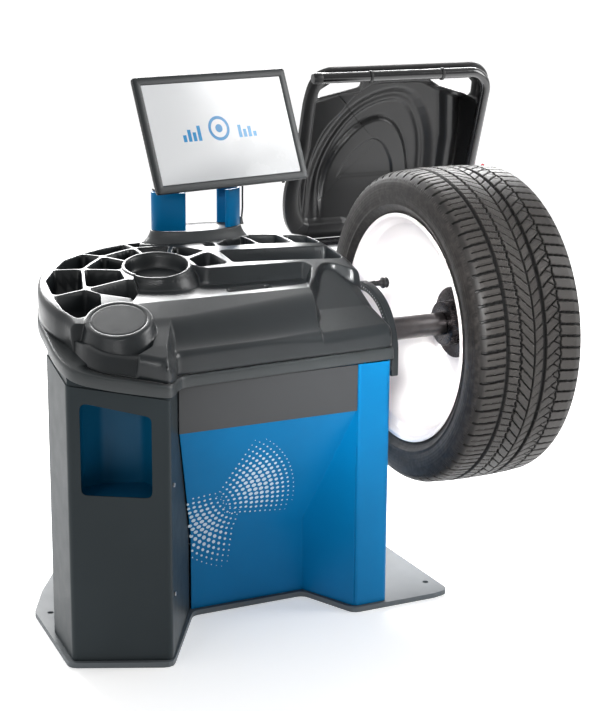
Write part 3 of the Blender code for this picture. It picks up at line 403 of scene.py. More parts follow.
class Finish:
    """A material that starts with a shader and gets its colour, roughness and relief from fields."""

    def __init__(self, name, colour, roughness, metallic=0.0, specular=0.5, coat=0.0, coat_roughness=0.1):
        self.material = bpy.data.materials.new(name)
        self.material.use_nodes = True
        self.tree = self.material.node_tree
        self.shader = self.tree.nodes["Principled BSDF"]
        self.colour = colour
        for socket, value in (
            ("Base Color", (*colour, 1)), ("Roughness", roughness), ("Metallic", metallic),
            ("Specular IOR Level", specular), ("Coat Weight", coat), ("Coat Roughness", coat_roughness),
        ):
            self.shader.inputs[socket].default_value = value
        self.material.diffuse_color = (*colour, 1)
        place = self.tree.nodes.new("ShaderNodeTexCoord")
        self.place = place.outputs["Object"]
        split = self.tree.nodes.new("ShaderNodeSeparateXYZ")
        self.tree.links.new(self.place, split.inputs[0])
        self.x, self.y, self.z = (Field(self.tree, output) for output in split.outputs)

    def noise(self, scale, detail=2.0, stretch=(1, 1, 1), roughness=0.5):
        node = self.tree.nodes.new("ShaderNodeTexNoise")
        node.inputs["Scale"].default_value = scale
        node.inputs["Detail"].default_value = detail
        node.inputs["Roughness"].default_value = roughness
        source = self.place
        if stretch != (1, 1, 1):
            mapping = self.tree.nodes.new("ShaderNodeMapping")
            mapping.inputs["Scale"].default_value = stretch
            self.tree.links.new(source, mapping.inputs["Vector"])
            source = mapping.outputs[0]
        self.tree.links.new(source, node.inputs["Vector"])
        return Field(self.tree, node.outputs[0])

    def cells(self, scale, feature="F1"):
        node = self.tree.nodes.new("ShaderNodeTexVoronoi")
        node.inputs["Scale"].default_value = scale
        node.feature = feature
        self.tree.links.new(self.place, node.inputs["Vector"])
        return Field(self.tree, node.outputs["Distance"])

    def tint(self, field, other, start=None):
        """Mixes another colour in where the field is 1. Calls add up."""
        node = self.tree.nodes.new("ShaderNodeMix")
        node.data_type = "RGBA"
        self.tree.links.new(field.socket, node.inputs[0])
        taken = self.shader.inputs["Base Color"].links
        if taken:
            self.tree.links.new(taken[0].from_socket, node.inputs[6])
        else:
            node.inputs[6].default_value = (*(start or self.colour), 1)
        node.inputs[7].default_value = (*other, 1)
        self.tree.links.new(node.outputs[2], self.shader.inputs["Base Color"])
        return self

    def mottle(self, scale, amount, detail=3.0, **how):
        """Slow lightening and darkening of the colour."""
        lighter = tuple(min(1.0, value * (1 + amount)) for value in self.colour)
        darker = tuple(value * (1 - amount) for value in self.colour)
        return self.tint(self.noise(scale, detail, **how).rise(0.3, 0.7), lighter, darker)

    def rough(self, field, low, high):
        self.tree.links.new(field.scaled(low, high).socket, self.shader.inputs["Roughness"])
        return self

    def relief(self, field, distance, strength=1.0):
        """Relief from a height field. Calls add up."""
        node = self.tree.nodes.new("ShaderNodeBump")
        node.inputs["Strength"].default_value = strength
        node.inputs["Distance"].default_value = distance
        self.tree.links.new(field.socket, node.inputs["Height"])
        taken = self.shader.inputs["Normal"].links
        if taken:
            self.tree.links.new(taken[0].from_socket, node.inputs["Normal"])
        self.tree.links.new(node.outputs[0], self.shader.inputs["Normal"])
        return self


def powder_coat(name, colour, roughness=0.33, metallic=0.0, coat=0.25, specular=0.5):
    """Sprayed paint on sheet metal: slight orange peel, faint dust, small changes of gloss."""
    made = Finish(name, colour, roughness, metallic, specular, coat, 0.18)
    made.mottle(5.0, 0.05)
    made.rough(made.noise(28, 3), roughness - 0.05, roughness + 0.07)
    made.relief(made.noise(420, 2), 0.00025, 0.35)
    made.relief(made.noise(1700, 1), 0.0001, 0.25)
    return made


def moulded(name, colour, roughness=0.45, grain=1400, depth=0.00018, specular=0.5, coat=0.0):
    """Grained plastic."""
    made = Finish(name, colour, roughness, specular=specular, coat=coat, coat_roughness=0.25)
    made.mottle(9.0, 0.07)
    made.rough(made.noise(40, 3), roughness - 0.05, roughness + 0.06)
    made.relief(made.cells(grain), depth, 0.4)
    made.relief(made.noise(grain * 1.7, 2), depth * 0.6, 0.3)
    return made


def machined(name, colour, roughness, lines=(1, 1, 1), scale=300, metallic=1.0):
    """Turned or rolled metal with fine tool lines."""
    made = Finish(name, colour, roughness, metallic)
    made.mottle(24.0, 0.14)
    made.rough(made.noise(scale, 4, lines), roughness - 0.1, roughness + 0.14)
    made.relief(made.noise(scale * 2.5, 3, lines), 0.00012, 0.35)
    return made


BLUE = powder_coat("blue_paint", (0.0005, 0.150, 0.360), 0.32, 0.0, 0.0, 0.12)
# Painted shade: a darker copy of the blue paint for the shaded inside of the corner pod.
LINER_BLUE = powder_coat("liner_paint", (0.001, 0.100, 0.210), 0.42, 0.0, 0.0, 0.25)
SLATE = powder_coat("slate_paint", (0.026, 0.034, 0.038), 0.42, 0.0, 0.0, 0.15)
BAND = powder_coat("band_paint", (0.036, 0.038, 0.041), 0.45, 0.0, 0.1)
PLATE = powder_coat("plate_paint", (0.110, 0.124, 0.134), 0.45, 0.0, 0.0, 0.2)
TRAY = moulded("tray_plastic", (0.015, 0.018, 0.020), 0.30, specular=0.50)
BLACK = moulded("black_plastic", (0.012, 0.012, 0.013), 0.42)
GLOSS = moulded("gloss_black", (0.010, 0.010, 0.011), 0.22, 900, 0.0001, coat=0.5)
STEEL = machined("dark_steel", (0.13, 0.122, 0.122), 0.33, (0.15, 1, 1))
BRIGHT = machined("bright_steel", (0.55, 0.55, 0.56), 0.28, (0.15, 1, 1))
IRON = machined("cast_iron", (0.14, 0.14, 0.15), 0.58, (1, 1, 1), 120)
RED = moulded("red_plastic", (0.62, 0.012, 0.018), 0.34)
RUBBER = moulded("belt_rubber", (0.018, 0.018, 0.018), 0.78, 700)


# Weight tray and its skirt

# Plan outline of the skirt as (x, y, height of its lower edge), anticlockwise from the front right
SKIRT_EDGE = [
    (0.006, -0.196, 0.588), (-0.002, -0.204, 0.588), (-0.020, -0.205, 0.588), (-0.250, -0.217, 0.588),
    (-0.490, -0.232, 0.588), (-0.528, -0.248, 0.588), (-0.572, -0.298, 0.590), (-0.630, -0.288, 0.600),
    (-0.700, -0.258, 0.612), (-0.752, -0.222, 0.626), (-0.762, -0.150, 0.640), (-0.752, -0.050, 0.660),
    (-0.738, 0.040, 0.676), (-0.705, 0.130, 0.690), (-0.652, 0.220, 0.698), (-0.570, 0.300, 0.700),
    (-0.470, 0.362, 0.690), (-0.360, 0.398, 0.670), (-0.240, 0.396, 0.650), (-0.120, 0.350, 0.620),
    (-0.030, 0.285, 0.600), (0.002, 0.225, 0.588), (0.006, 0.195, 0.588), (0.006, 0.170, 0.588),
    (0.006, -0.175, 0.588),
]
# Foot of the tray body on that skirt. At the front left the body stands back behind a ledge.
BODY_EDGE = [
    (0.003, -0.190, 0.588), (-0.004, -0.200, 0.588), (-0.020, -0.202, 0.588), (-0.250, -0.214, 0.588),
    (-0.480, -0.228, 0.588), (-0.522, -0.231, 0.588), (-0.545, -0.268, 0.589), (-0.573, -0.287, 0.591),
    (-0.610, -0.272, 0.597), (-0.655, -0.252, 0.606), (-0.694, -0.232, 0.613), (-0.716, -0.196, 0.620),
    (-0.722, -0.150, 0.628), (-0.726, -0.112, 0.637), (-0.739, -0.075, 0.650), (-0.744, -0.030, 0.662),
    (-0.735, 0.040, 0.676), (-0.703, 0.129, 0.690), (-0.650, 0.218, 0.698), (-0.569, 0.297, 0.700),
    (-0.469, 0.359, 0.690), (-0.360, 0.395, 0.670), (-0.240, 0.393, 0.650), (-0.122, 0.348, 0.620),
    (-0.032, 0.283, 0.600), (-0.001, 0.224, 0.588), (0.003, 0.195, 0.588), (0.003, 0.170, 0.588),
    (0.003, -0.175, 0.588),
]
TRAY_CENTRE = np.array((-0.420, 0.050))
POCKET_DEPTH = 0.042
WALL = 0.008
WALL_EDGE = 0.003
DISH = (-0.445, 0.085, 0.785)
DISH_RADIUS = 0.074
BOSS = (-0.626, -0.158, 0.731)
BOSS_RADIUS = 0.072
BOSS_EDGE = 0.007
LEAN_HEADING = math.radians(-26)
# The step at the right-hand end of the deck, from the tray's right side to its front
STEP_LINE = smooth_plan([
    (0.012, -0.036), (-0.012, -0.034), (-0.030, -0.017), (-0.046, -0.001), (-0.066, 0.004), (-0.090, -0.012),
    (-0.118, -0.050), (-0.146, -0.084), (-0.154, -0.110), (-0.160, -0.139), (-0.172, -0.175), (-0.182, -0.240),
], 4)
SUNK_LEVEL = 0.7425
SHAFT_OPENING = 0.036


def smooth_step(low, high, value):
    t = np.clip((value - low) / (high - low), 0, 1)
    return t * t * (3 - 2 * t)


def soft_min(a, b, reach):
    """The lower of two heights, with the crease between them rounded over reach."""
    h = np.clip(0.5 + 0.5 * (b - a) / reach, 0, 1)
    return b * (1 - h) + a * h - reach * h * (1 - h)


def soft_max(a, b, reach):
    return -soft_min(-a, -b, reach)


def rolled(distance, radius):
    """How far a rounded edge drops at each distance past its start."""
    return radius - np.sqrt(np.clip(radius**2 - np.clip(distance, 0, radius) ** 2, 0, None))


def ridge(distance, width):
    """1 on a line, falling off smoothly over width."""
    return np.exp(-((distance / width) ** 2))


def side_of(x, y, line):
    """Signed distance from an open line of points, positive on its left."""
    best = np.full(x.shape, 1e9)
    sign = np.ones(x.shape)
    for (ax, ay), (bx, by) in zip(line, line[1:]):
        ex, ey = bx - ax, by - ay
        t = np.clip(((x - ax) * ex + (y - ay) * ey) / (ex * ex + ey * ey), 0, 1)
        dx, dy = x - ax - t * ex, y - ay - t * ey
        distance = np.hypot(dx, dy)
        nearer = distance < best
        best = np.where(nearer, distance, best)
        sign = np.where(nearer, np.sign(ex * dy - ey * dx), sign)
    return best * sign


def inside_by(x, y, outline):
    """How far each point is inside a closed outline, negative outside."""
    best = np.full(x.shape, 1e9)
    inside = np.zeros(x.shape, bool)
    for (ax, ay), (bx, by) in zip(outline, outline[1:] + outline[:1]):
        ex, ey = bx - ax, by - ay
        t = np.clip(((x - ax) * ex + (y - ay) * ey) / (ex * ex + ey * ey), 0, 1)
        best = np.minimum(best, np.hypot(x - ax - t * ex, y - ay - t * ey))
        crosses = (ay > y) != (by > y)
        with np.errstate(divide="ignore", invalid="ignore"):
            at = ax + (y - ay) * ex / np.where(ey == 0, 1e-12, ey)
        inside ^= crosses & (x < at)
    return np.where(inside, best, -best)


def deck_height(x, y):
    return 0.7745 + 0.18 * y - 0.4 * y * y + 0.02 * x


def front_of_tray(x, y):
    """Heights of the nose, the ledge between two bulges, and the right-hand hump."""
    nose = np.interp(y, (-0.300, -0.240, -0.050, 0.100), (0.664, 0.690, 0.757, 0.810))
    deck = soft_min(deck_height(x, y), nose, 0.010)
    # Under the ridge the front sweeps down to a shallow shelf.
    ridge_y = np.interp(x, (-0.467, -0.178), (-0.143, -0.117))
    shelf_y = np.interp(x, (-0.500, -0.185), (-0.200, -0.182))
    shelf = 0.672 + 0.25 * (y - shelf_y)
    share = (y - shelf_y) / (ridge_y - shelf_y)
    band = 0.672 + share * 0.069
    lowered = soft_max(shelf, band, 0.018)
    left_end = [(-0.440, -0.100), (-0.462, -0.124), (-0.490, -0.140), (-0.508, -0.160), (-0.528, -0.200),
                (-0.548, -0.240), (-0.570, -0.300)]
    past = side_of(x, y, left_end)
    wall = deck - np.clip(past + 0.004, 0, None) * 2.6
    pocket = soft_max(lowered, wall, 0.014)
    surface = soft_min(deck, pocket, 0.013)
    # On the right the deck ends in a step above a pad that slopes to the front.
    pad = np.interp(y, (-0.240, -0.200, -0.180, -0.112, -0.012, 0.030), (0.640, 0.664, 0.671, 0.694, 0.751, 0.775))
    pad_edge = np.interp(y, (-0.200, -0.030), (-0.008, -0.035))
    pad = pad - 0.28 * np.clip(x - pad_edge, 0, None)
    into = side_of(x, y, STEP_LINE)
    right = soft_max(pad, surface - np.clip(into, 0, None) * 3.2, 0.007)
    left = soft_max(surface, pad + np.clip(into, None, 0) * 1.5, 0.010)
    return np.where(into > 0, right, left)


def tray_cells():
    """Plan outlines of the cells, along the centre lines of the walls between them."""
    rim = [(-0.723, -0.014), (-0.666, 0.150), (-0.553, 0.281), (-0.414, 0.372)]
    ring = [(-0.642, 0.005), (-0.602, 0.131), (-0.522, 0.226), (-0.421, 0.290)]
    hub = [(-0.535, 0.036), (-0.525, 0.095), (-0.488, 0.152), (-0.432, 0.200)]
    cells = [
        [(-0.723, -0.078), (-0.706, -0.120), (-0.640, -0.110), (-0.616, -0.030), ring[0], rim[0]],
        [ring[0], (-0.618, -0.030), (-0.556, -0.068), (-0.503, 0.024), hub[0]],
    ]
    for index in range(3):
        # The rim bows outwards between two walls.
        bow = [(-0.708, 0.080), (-0.617, 0.226), (-0.487, 0.332)][index]
        cells.append([rim[index], ring[index], ring[index + 1], rim[index + 1], bow])
        cells.append([ring[index], hub[index], hub[index + 1], ring[index + 1]])
    cells.append([rim[3], ring[3], (-0.332, 0.276), (-0.330, 0.372)])
    cells.append([ring[3], hub[3], (-0.372, 0.196), (-0.336, 0.270)])
    cells.append([(-0.332, 0.268), (-0.368, 0.196), (-0.352, 0.134), (-0.286, 0.176)])
    rear = [(-0.238, 0.232), (-0.142, 0.330), (-0.062, 0.268), (-0.006, 0.214)]
    front = [(-0.240, 0.200), (-0.148, 0.183), (-0.065, 0.160), (-0.004, 0.130)]
    for index in range(3):
        cells.append([rear[index], front[index], front[index + 1], rear[index + 1]])
    cells.append([(-0.276, 0.212), (-0.244, 0.202), (-0.232, 0.262), (-0.262, 0.268)])
    cells.append([(-0.264, 0.170), (-0.270, 0.064), (-0.006, 0.016), (-0.006, 0.112)])
    cells.append([(-0.284, 0.172), (-0.276, 0.062), (-0.356, 0.056), (-0.354, 0.126)])
    return cells


def shrunk(outline, amount):
    """A convex outline moved inwards by an amount."""
    points = [Vector(point) for point in outline]
    sign = turn_sign(points)
    lines = []
    for a, b in zip(points, points[1:] + points[:1]):
        along = (b - a).normalized()
        normal = Vector((-along.y, along.x)) * sign
        lines.append((a + normal * amount, along))
    made = []
    for (p, u), (q, v) in zip(lines[-1:] + lines[:-1], lines):
        cross = u.x * v.y - u.y * v.x
        t = ((q - p).x * v.y - (q - p).y * v.x) / cross
        made.append(p + u * t)
    return made


def leaning(x, y, form, tilt):
    """Plan radius from a leaning disc's axis, and the height of the disc's plane."""
    dx, dy = x - form[0], y - form[1]
    ahead = -math.sin(LEAN_HEADING) * dx + math.cos(LEAN_HEADING) * dy
    across = math.cos(LEAN_HEADING) * dx + math.sin(LEAN_HEADING) * dy
    radius = np.hypot(across, ahead / math.cos(tilt))
    return radius, form[2] + math.tan(tilt) * ahead


def tray_surface(x, y):
    """Height of the tray's upper side at each point."""
    top = front_of_tray(x, y)
    # Beside the boss the rim falls away to the skirt.
    drop = [(-0.760, -0.128), (-0.700, -0.140), (-0.626, -0.158), (-0.560, -0.200), (-0.585, -0.238), (-0.622, -0.258),
            (-0.626, -0.340), (-0.800, -0.340)]
    top = top - np.clip(inside_by(x, y, drop), 0, None) * 5.0
    height = top.copy()
    collar_gap = (np.hypot((x - UPRIGHT_CENTRE[0]) / 0.136, (y - UPRIGHT_CENTRE[1]) / 0.072) - 1.05) * 0.08
    for cell in tray_cells():
        middle = np.mean(cell, axis=0)
        corners = np.array(cell)
        floor = front_of_tray(corners[:, 0], corners[:, 1]).min() * 0.5
        floor += front_of_tray(middle[:1], middle[1:])[0] * 0.5 - POCKET_DEPTH
        depth = np.minimum(inside_by(x, y, fillet(shrunk(cell, WALL / 2), 0.010, 4)), collar_gap)
        walls = top - rolled(depth + WALL_EDGE, WALL_EDGE) - np.clip(depth, 0, None) * 18
        height = np.minimum(height, np.where(depth > -WALL_EDGE, soft_max(walls, floor, 0.004), height))
    # The sunk level between dish, boss and ridge, the tool recess behind it, and the slot in the floor
    sunk = [(-0.510, 0.050), (-0.562, -0.066), (-0.600, -0.320), (-0.150, -0.200), (-0.149, -0.082), (-0.124, -0.042),
            (-0.104, -0.004), (-0.112, 0.020), (-0.340, 0.046), (-0.380, 0.100)]
    depth = inside_by(x, y, fillet(sunk, 0.012, 4))
    walls = top - np.clip(depth + 0.002, 0, None) * 2.0
    height = np.minimum(height, np.where(depth > -0.002, soft_max(walls, SUNK_LEVEL, 0.005), height))
    recess = [(-0.420, 0.048), (-0.420, -0.069), (-0.165, -0.058), (-0.128, -0.044), (-0.104, -0.004), (-0.112, 0.018)]
    depth = inside_by(x, y, fillet(recess, 0.016, 4))
    height = height - 0.0030 * smooth_step(-0.001, 0.004, depth) * (height < SUNK_LEVEL + 0.0035)
    slot = fillet([(-0.336, -0.060), (-0.318, -0.014), (-0.212, -0.004), (-0.224, -0.052)], 0.012, 5)
    depth = inside_by(x, y, slot)
    height = height - 0.009 * smooth_step(-0.0010, 0.0035, depth)
    # Seat of the screen's collar
    seat = np.hypot((x - UPRIGHT_CENTRE[0]) / 0.1375, (y - UPRIGHT_CENTRE[1]) / 0.0735)
    height = np.where(seat < 1.0, np.minimum(height, 0.7755), height)
    # Dish: a raised ring with a hollow
    radius, plane = leaning(x, y, DISH, math.radians(11.3))
    out = radius - DISH_RADIUS
    lip = plane - np.clip(out - 0.003, 0, None) * 1.9 - np.clip(out - 0.018, 0, None) * 3
    lip = lip - rolled(np.abs(out), 0.006)
    inner = plane - 0.001 - np.clip(-out - 0.004, 0, None) * 9
    bowl = soft_max(inner, plane - 0.034, 0.008)
    pad = plane - 0.031 - np.clip(radius - 0.050, 0, None) * 3
    bowl = soft_max(bowl, pad, 0.002)
    height = np.where(out > -0.003, soft_max(height, lip, 0.010), bowl)
    # Boss: a leaning disc with a fine groove near its edge and a wide flare
    radius, plane = leaning(x, y, BOSS, math.radians(20))
    out = radius - BOSS_RADIUS
    flare = plane - np.clip(out, 0, None) * 3.4 + np.clip(out - 0.014, 0, None) * 1.4
    flare = flare - rolled(out + BOSS_EDGE, BOSS_EDGE)
    flare = flare - 0.0016 * ridge(radius - 0.0585, 0.0016)
    flare = flare - 0.0006 * smooth_step(0.060, 0.057, radius)
    return soft_max(height, flare, 0.006)


def along_edge(edge, spacing):
    return resampled(smooth_path(edge, 8, closed=True), spacing)


def shaft_arch(y):
    """Height of the opening round the shaft."""
    return SHAFT_Z + np.sqrt(np.clip(SHAFT_OPENING**2 - y**2, 0, None))


def weight_tray():
    edge = along_edge(BODY_EDGE, 0.0021)
    around = len(edge)
    reach = edge[:, :2] - TRAY_CENTRE
    shares = np.concatenate([np.linspace(0.02, 0.90, TRAY_ROWS), 1 - np.linspace(0.098, 0.0, 56)])
    x = TRAY_CENTRE[0] + shares[:, None] * reach[None, :, 0]
    y = TRAY_CENTRE[1] + shares[:, None] * reach[None, :, 1]
    top = tray_surface(x, y)
    base = edge[:, 2] + SKIRT_HEIGHT + 0.0012
    # The rim rolls over into the outer wall.
    depth = np.abs(inside_by(x, y, edge[::4, :2].tolist()))
    roll = np.interp(x, (-0.60, -0.50, -0.30, -0.20), (0.013, 0.010, 0.008, 0.015))
    roll = np.where(y > 0, 0.013, roll)
    top = top - rolled(roll - depth, roll) * 1.3
    top = np.maximum(top, base[None, :] + 0.004)
    rows = [np.stack([x[i], y[i], top[i]], axis=1) for i in range(len(shares))]
    # The wall, open round the shaft, then the hollow underside
    over_shaft = (edge[:, 0] > -0.05) & (np.abs(edge[:, 1]) < SHAFT_OPENING)
    foot = np.where(over_shaft, np.maximum(base, shaft_arch(edge[:, 1])), base)
    for share in (0.35, 0.7, 0.97):
        rows.append(np.stack([x[-1], y[-1], top[-1] * (1 - share) + foot * share], axis=1))
    inner = edge[:, :2] - reach / np.linalg.norm(reach, axis=1)[:, None] * 0.003
    rows.append(np.stack([inner[:, 0], inner[:, 1], foot], axis=1))
    for share in (0.985, 0.93, 0.80, 0.60, 0.35, 0.12):
        ux = TRAY_CENTRE[0] + share * reach[:, 0]
        uy = TRAY_CENTRE[1] + share * reach[:, 1]
        under = np.minimum(front_of_tray(ux, uy) - 0.016, 0.690)
        rows.append(np.stack([ux, uy, np.maximum(under, (foot + 0.004) * (share > 0.98))], axis=1))
    points = np.vstack(rows)
    count = len(rows)
    faces = strip_faces(count, around, wrap_columns=True)
    crown = len(points)
    sole = crown + 1
    middle = np.array([[*TRAY_CENTRE, 0], [*TRAY_CENTRE, 0.690]])
    middle[0, 2] = tray_surface(TRAY_CENTRE[:1], TRAY_CENTRE[1:])[0]
    points = np.vstack([points, middle])
    last = (count - 1) * around
    for index in range(around):
        after = (index + 1) % around
        faces.append([after, index, crown])
        faces.append([last + index, last + after, sole])
    mesh = make_mesh("weight_tray_moulding", points, faces)
    mesh.shade_smooth()
    piece("weight_tray_moulding", mesh, "cabinet", "tray_plastic", TRAY, "weight_tray", sharp=0)


def tray_skirt():
    """The band under the tray: a soft outer lip and a ledge that runs in under the body."""
    edge = along_edge(SKIRT_EDGE, 0.005)
    reach = edge[:, :2] - TRAY_CENTRE
    inward = left_normals(edge[:, :2])
    inward *= np.sign(-(inward * reach).sum(axis=1))[:, None]
    wide = (edge[:, 0] < -0.585) & (edge[:, 1] < 0.03)
    shelf = averaged(np.where(wide, 0.062, 0.014), 7)
    section = [(0.0022, 0.0), (0.0006, 0.0012), (0.0, 0.004), (0.0004, 0.0185), (0.0014, 0.0235), (0.0035, 0.0262),
               (0.0065, 0.0270)]
    rows = []
    for inset, up in section:
        rows.append(np.column_stack([edge[:, :2] + inward * inset, edge[:, 2] + up]))
    for share, up in ((0.5, 0.0266), (1.0, 0.0262), (1.0, 0.0232)):
        rows.append(np.column_stack([edge[:, :2] + inward * (0.0065 + (shelf - 0.0065) * share)[:, None],
                                     edge[:, 2] + up]))
    rows.append(np.column_stack([edge[:, :2] + inward * 0.0048, edge[:, 2] + 0.0228]))
    rows.append(np.column_stack([edge[:, :2] + inward * 0.0048, edge[:, 2]]))
    near_shaft = (edge[:, 0] > -0.02) & (np.abs(edge[:, 1]) < SHAFT_OPENING)
    lifted = np.minimum(shaft_arch(edge[:, 1]), edge[:, 2] + 0.0262)
    kept = []
    for row in rows:
        over = np.column_stack([row[:, :2], np.maximum(row[:, 2], lifted)])
        kept.append(np.where(near_shaft[:, None], over, row))
    mesh = loft("tray_skirt_band", kept, ring=True)
    piece("tray_skirt_band", mesh, "cabinet", "black_plastic", SKIRT, "tray_skirt")


TRAY_ROWS = 190
SKIRT = moulded("skirt_plastic", (0.032, 0.037, 0.039), 0.38)
weight_tray()
tray_skirt()


# Spindle


def spindle():
    shaft = fillet([
        (-0.285, 0.0004), (0.470, 0.0004), (0.470, 0.0175), (0.2455, 0.0175), (0.2455, SHAFT_RADIUS),
        (-0.026, SHAFT_RADIUS), (-0.026, 0.020), (-0.285, 0.020),
    ], [0, 0, 0.002, 0, 0.0015, 0.001, 0, 0.001], 4)
    piece("shaft", lathe("shaft", shaft, 96), "spindle", "dark_steel", STEEL, "spindle_shaft", sharp=25)
    flange = fillet([
        (0.246, 0.0184), (0.284, 0.0184), (0.284, 0.046), (0.310, 0.046), (0.310, 0.085), (0.296, 0.085),
        (0.294, 0.0835), (0.292, 0.085), (0.276, 0.085), (0.276, 0.053), (0.264, 0.053), (0.2625, 0.0518),
        (0.261, 0.053), (0.246, 0.053),
    ], [0.001, 0.001, 0.001, 0.001, 0.0015, 0, 0, 0, 0.002, 0.003, 0, 0, 0, 0.0022], 3)
    piece("flange", lathe("flange", flange, 120), "spindle", "dark_steel", FLANGE, "hub_flange", sharp=25)
    cone = fillet([
        (0.288, 0.0184), (0.326, 0.0184), (0.326, 0.024), (0.298, 0.0402), (0.297, 0.042), (0.288, 0.042),
    ], [0, 0.001, 0.002, 0.001, 0.001, 0.001], 3)
    piece("cone", lathe("cone", cone, 96), "spindle", "bright_steel", BRIGHT, "centring_cone", sharp=25)


def quick_nut():
    face = WHEEL_FACE + 0.0312
    cup = fillet([
        (face + 0.012, 0.0184), (face + 0.016, 0.0184), (face + 0.016, 0.050), (face + 0.012, 0.054),
        (face, 0.058), (face, 0.050), (face + 0.012, 0.046),
    ], 0.0012, 3)
    piece("pressure_cup", lathe("pressure_cup", cup, 96), "nut_slider", "black_plastic", BLACK, "nut_cup", sharp=25)
    start = face + 0.0165
    rows = []
    sections = [(start, 0.030, 0.000), (start + 0.002, 0.0340, 0.002), (start + 0.004, 0.0360, 0.0022),
                (start + 0.026, 0.0360, 0.0022), (start + 0.034, 0.0340, 0.0015), (start + 0.047, 0.0300, 0.0),
                (start + 0.050, 0.0280, 0.0), (start + 0.050, 0.0184, 0.0), (start, 0.0184, 0.0)]
    sides = 144
    for x, radius, flute in sections:
        row = []
        for step in range(sides):
            angle = 2 * math.pi * step / sides
            r = radius - flute * (0.5 + 0.5 * math.cos(12 * angle)) ** 3
            row.append((x, r * math.cos(angle), SHAFT_Z + r * math.sin(angle)))
        rows.append(row)
    body = loft("nut_body", rows, ring=True)
    handles = []
    for side in (1, -1):
        outline = [(-0.014, 0.027), (0.014, 0.027), (0.0085, 0.060), (0.010, 0.104), (-0.010, 0.104), (-0.0085, 0.060)]
        outline = fillet(outline, [0, 0, 0.03, 0.009, 0.009, 0.03], 6)
        outline = [(p.x * side, SHAFT_Z + p.y * side) for p in outline]
        handles.append(prism("handle", outline, start + 0.010, start + 0.028, "x", 0.004, 4))
    piece("nut", joined("nut", body, *handles), "nut_grip", "dark_steel", STEEL, "nut_sleeve", sharp=30)


# Wheel

PITCHES = 66
SIPE = 0.0002
TYRE_MIDDLE = (TYRE_LEFT + TYRE_RIGHT) / 2


def groove(distance, half, depth, soft=0.0013):
    return depth * (1 - smooth_step(half, half + soft, np.abs(distance)))


def window(x, low, high, soft=0.003):
    return smooth_step(low - soft, low, x) * (1 - smooth_step(high, high + soft, x))


def tread_depth(x, turn):
    """Depth of the tread pattern at x, with turn in pitches round the tyre."""
    pitch = 2 * math.pi * TYRE_RADIUS / PITCHES

    def across(rate, slope, start=0.0):
        """Distance along the circumference to the nearest of a set of lines."""
        phase = turn * rate + (x - TYRE_MIDDLE) * slope * rate / pitch + start
        return (phase - np.round(phase)) * pitch / rate

    zigzag = 0.0012 * np.sign(np.sin(2 * math.pi * 2 * turn))
    depth = groove(x - 0.1952, 0.0034, 0.0075)
    for cut in (
        groove(x - 0.2285 - zigzag, 0.0013, 0.0070),
        groove(x - 0.2645, 0.0010, 0.0060),
        groove(x - 0.2912, 0.0046, 0.0075),
        groove(x - 0.3325 + zigzag, 0.0014, 0.0065),
        # shoulder blocks
        groove(across(1, 0.10), 0.0020, 0.0068) * window(x, 0.1325, 0.1920),
        groove(across(1, 0.10, 0.5), 0.0004, 0.0045) * window(x, 0.1480, 0.1920),
        groove(across(1.3333, -0.12), 0.0016, 0.0065) * window(x, 0.3360, 0.3990),
        # ribs
        groove(across(1.3333, -1.05), 0.0009, 0.0060) * window(x, 0.2300, 0.2630),
        groove(across(1.3333, 0.85, 0.3), 0.0006, 0.0050) * window(x, 0.2655, 0.2860),
        groove(across(1.3333, 0.75), 0.0008, 0.0055) * window(x, 0.2960, 0.3310),
        groove(across(2, -0.25, 0.2), 0.0004, 0.0045) * window(x, 0.2000, 0.2260),
        # the short legs that make the slashes into hooks
        groove(across(1.3333, -0.6, 0.42), 0.0006, 0.0050) * window(x, 0.3150, 0.3310),
    ):
        depth = np.maximum(depth, cut)
    return depth


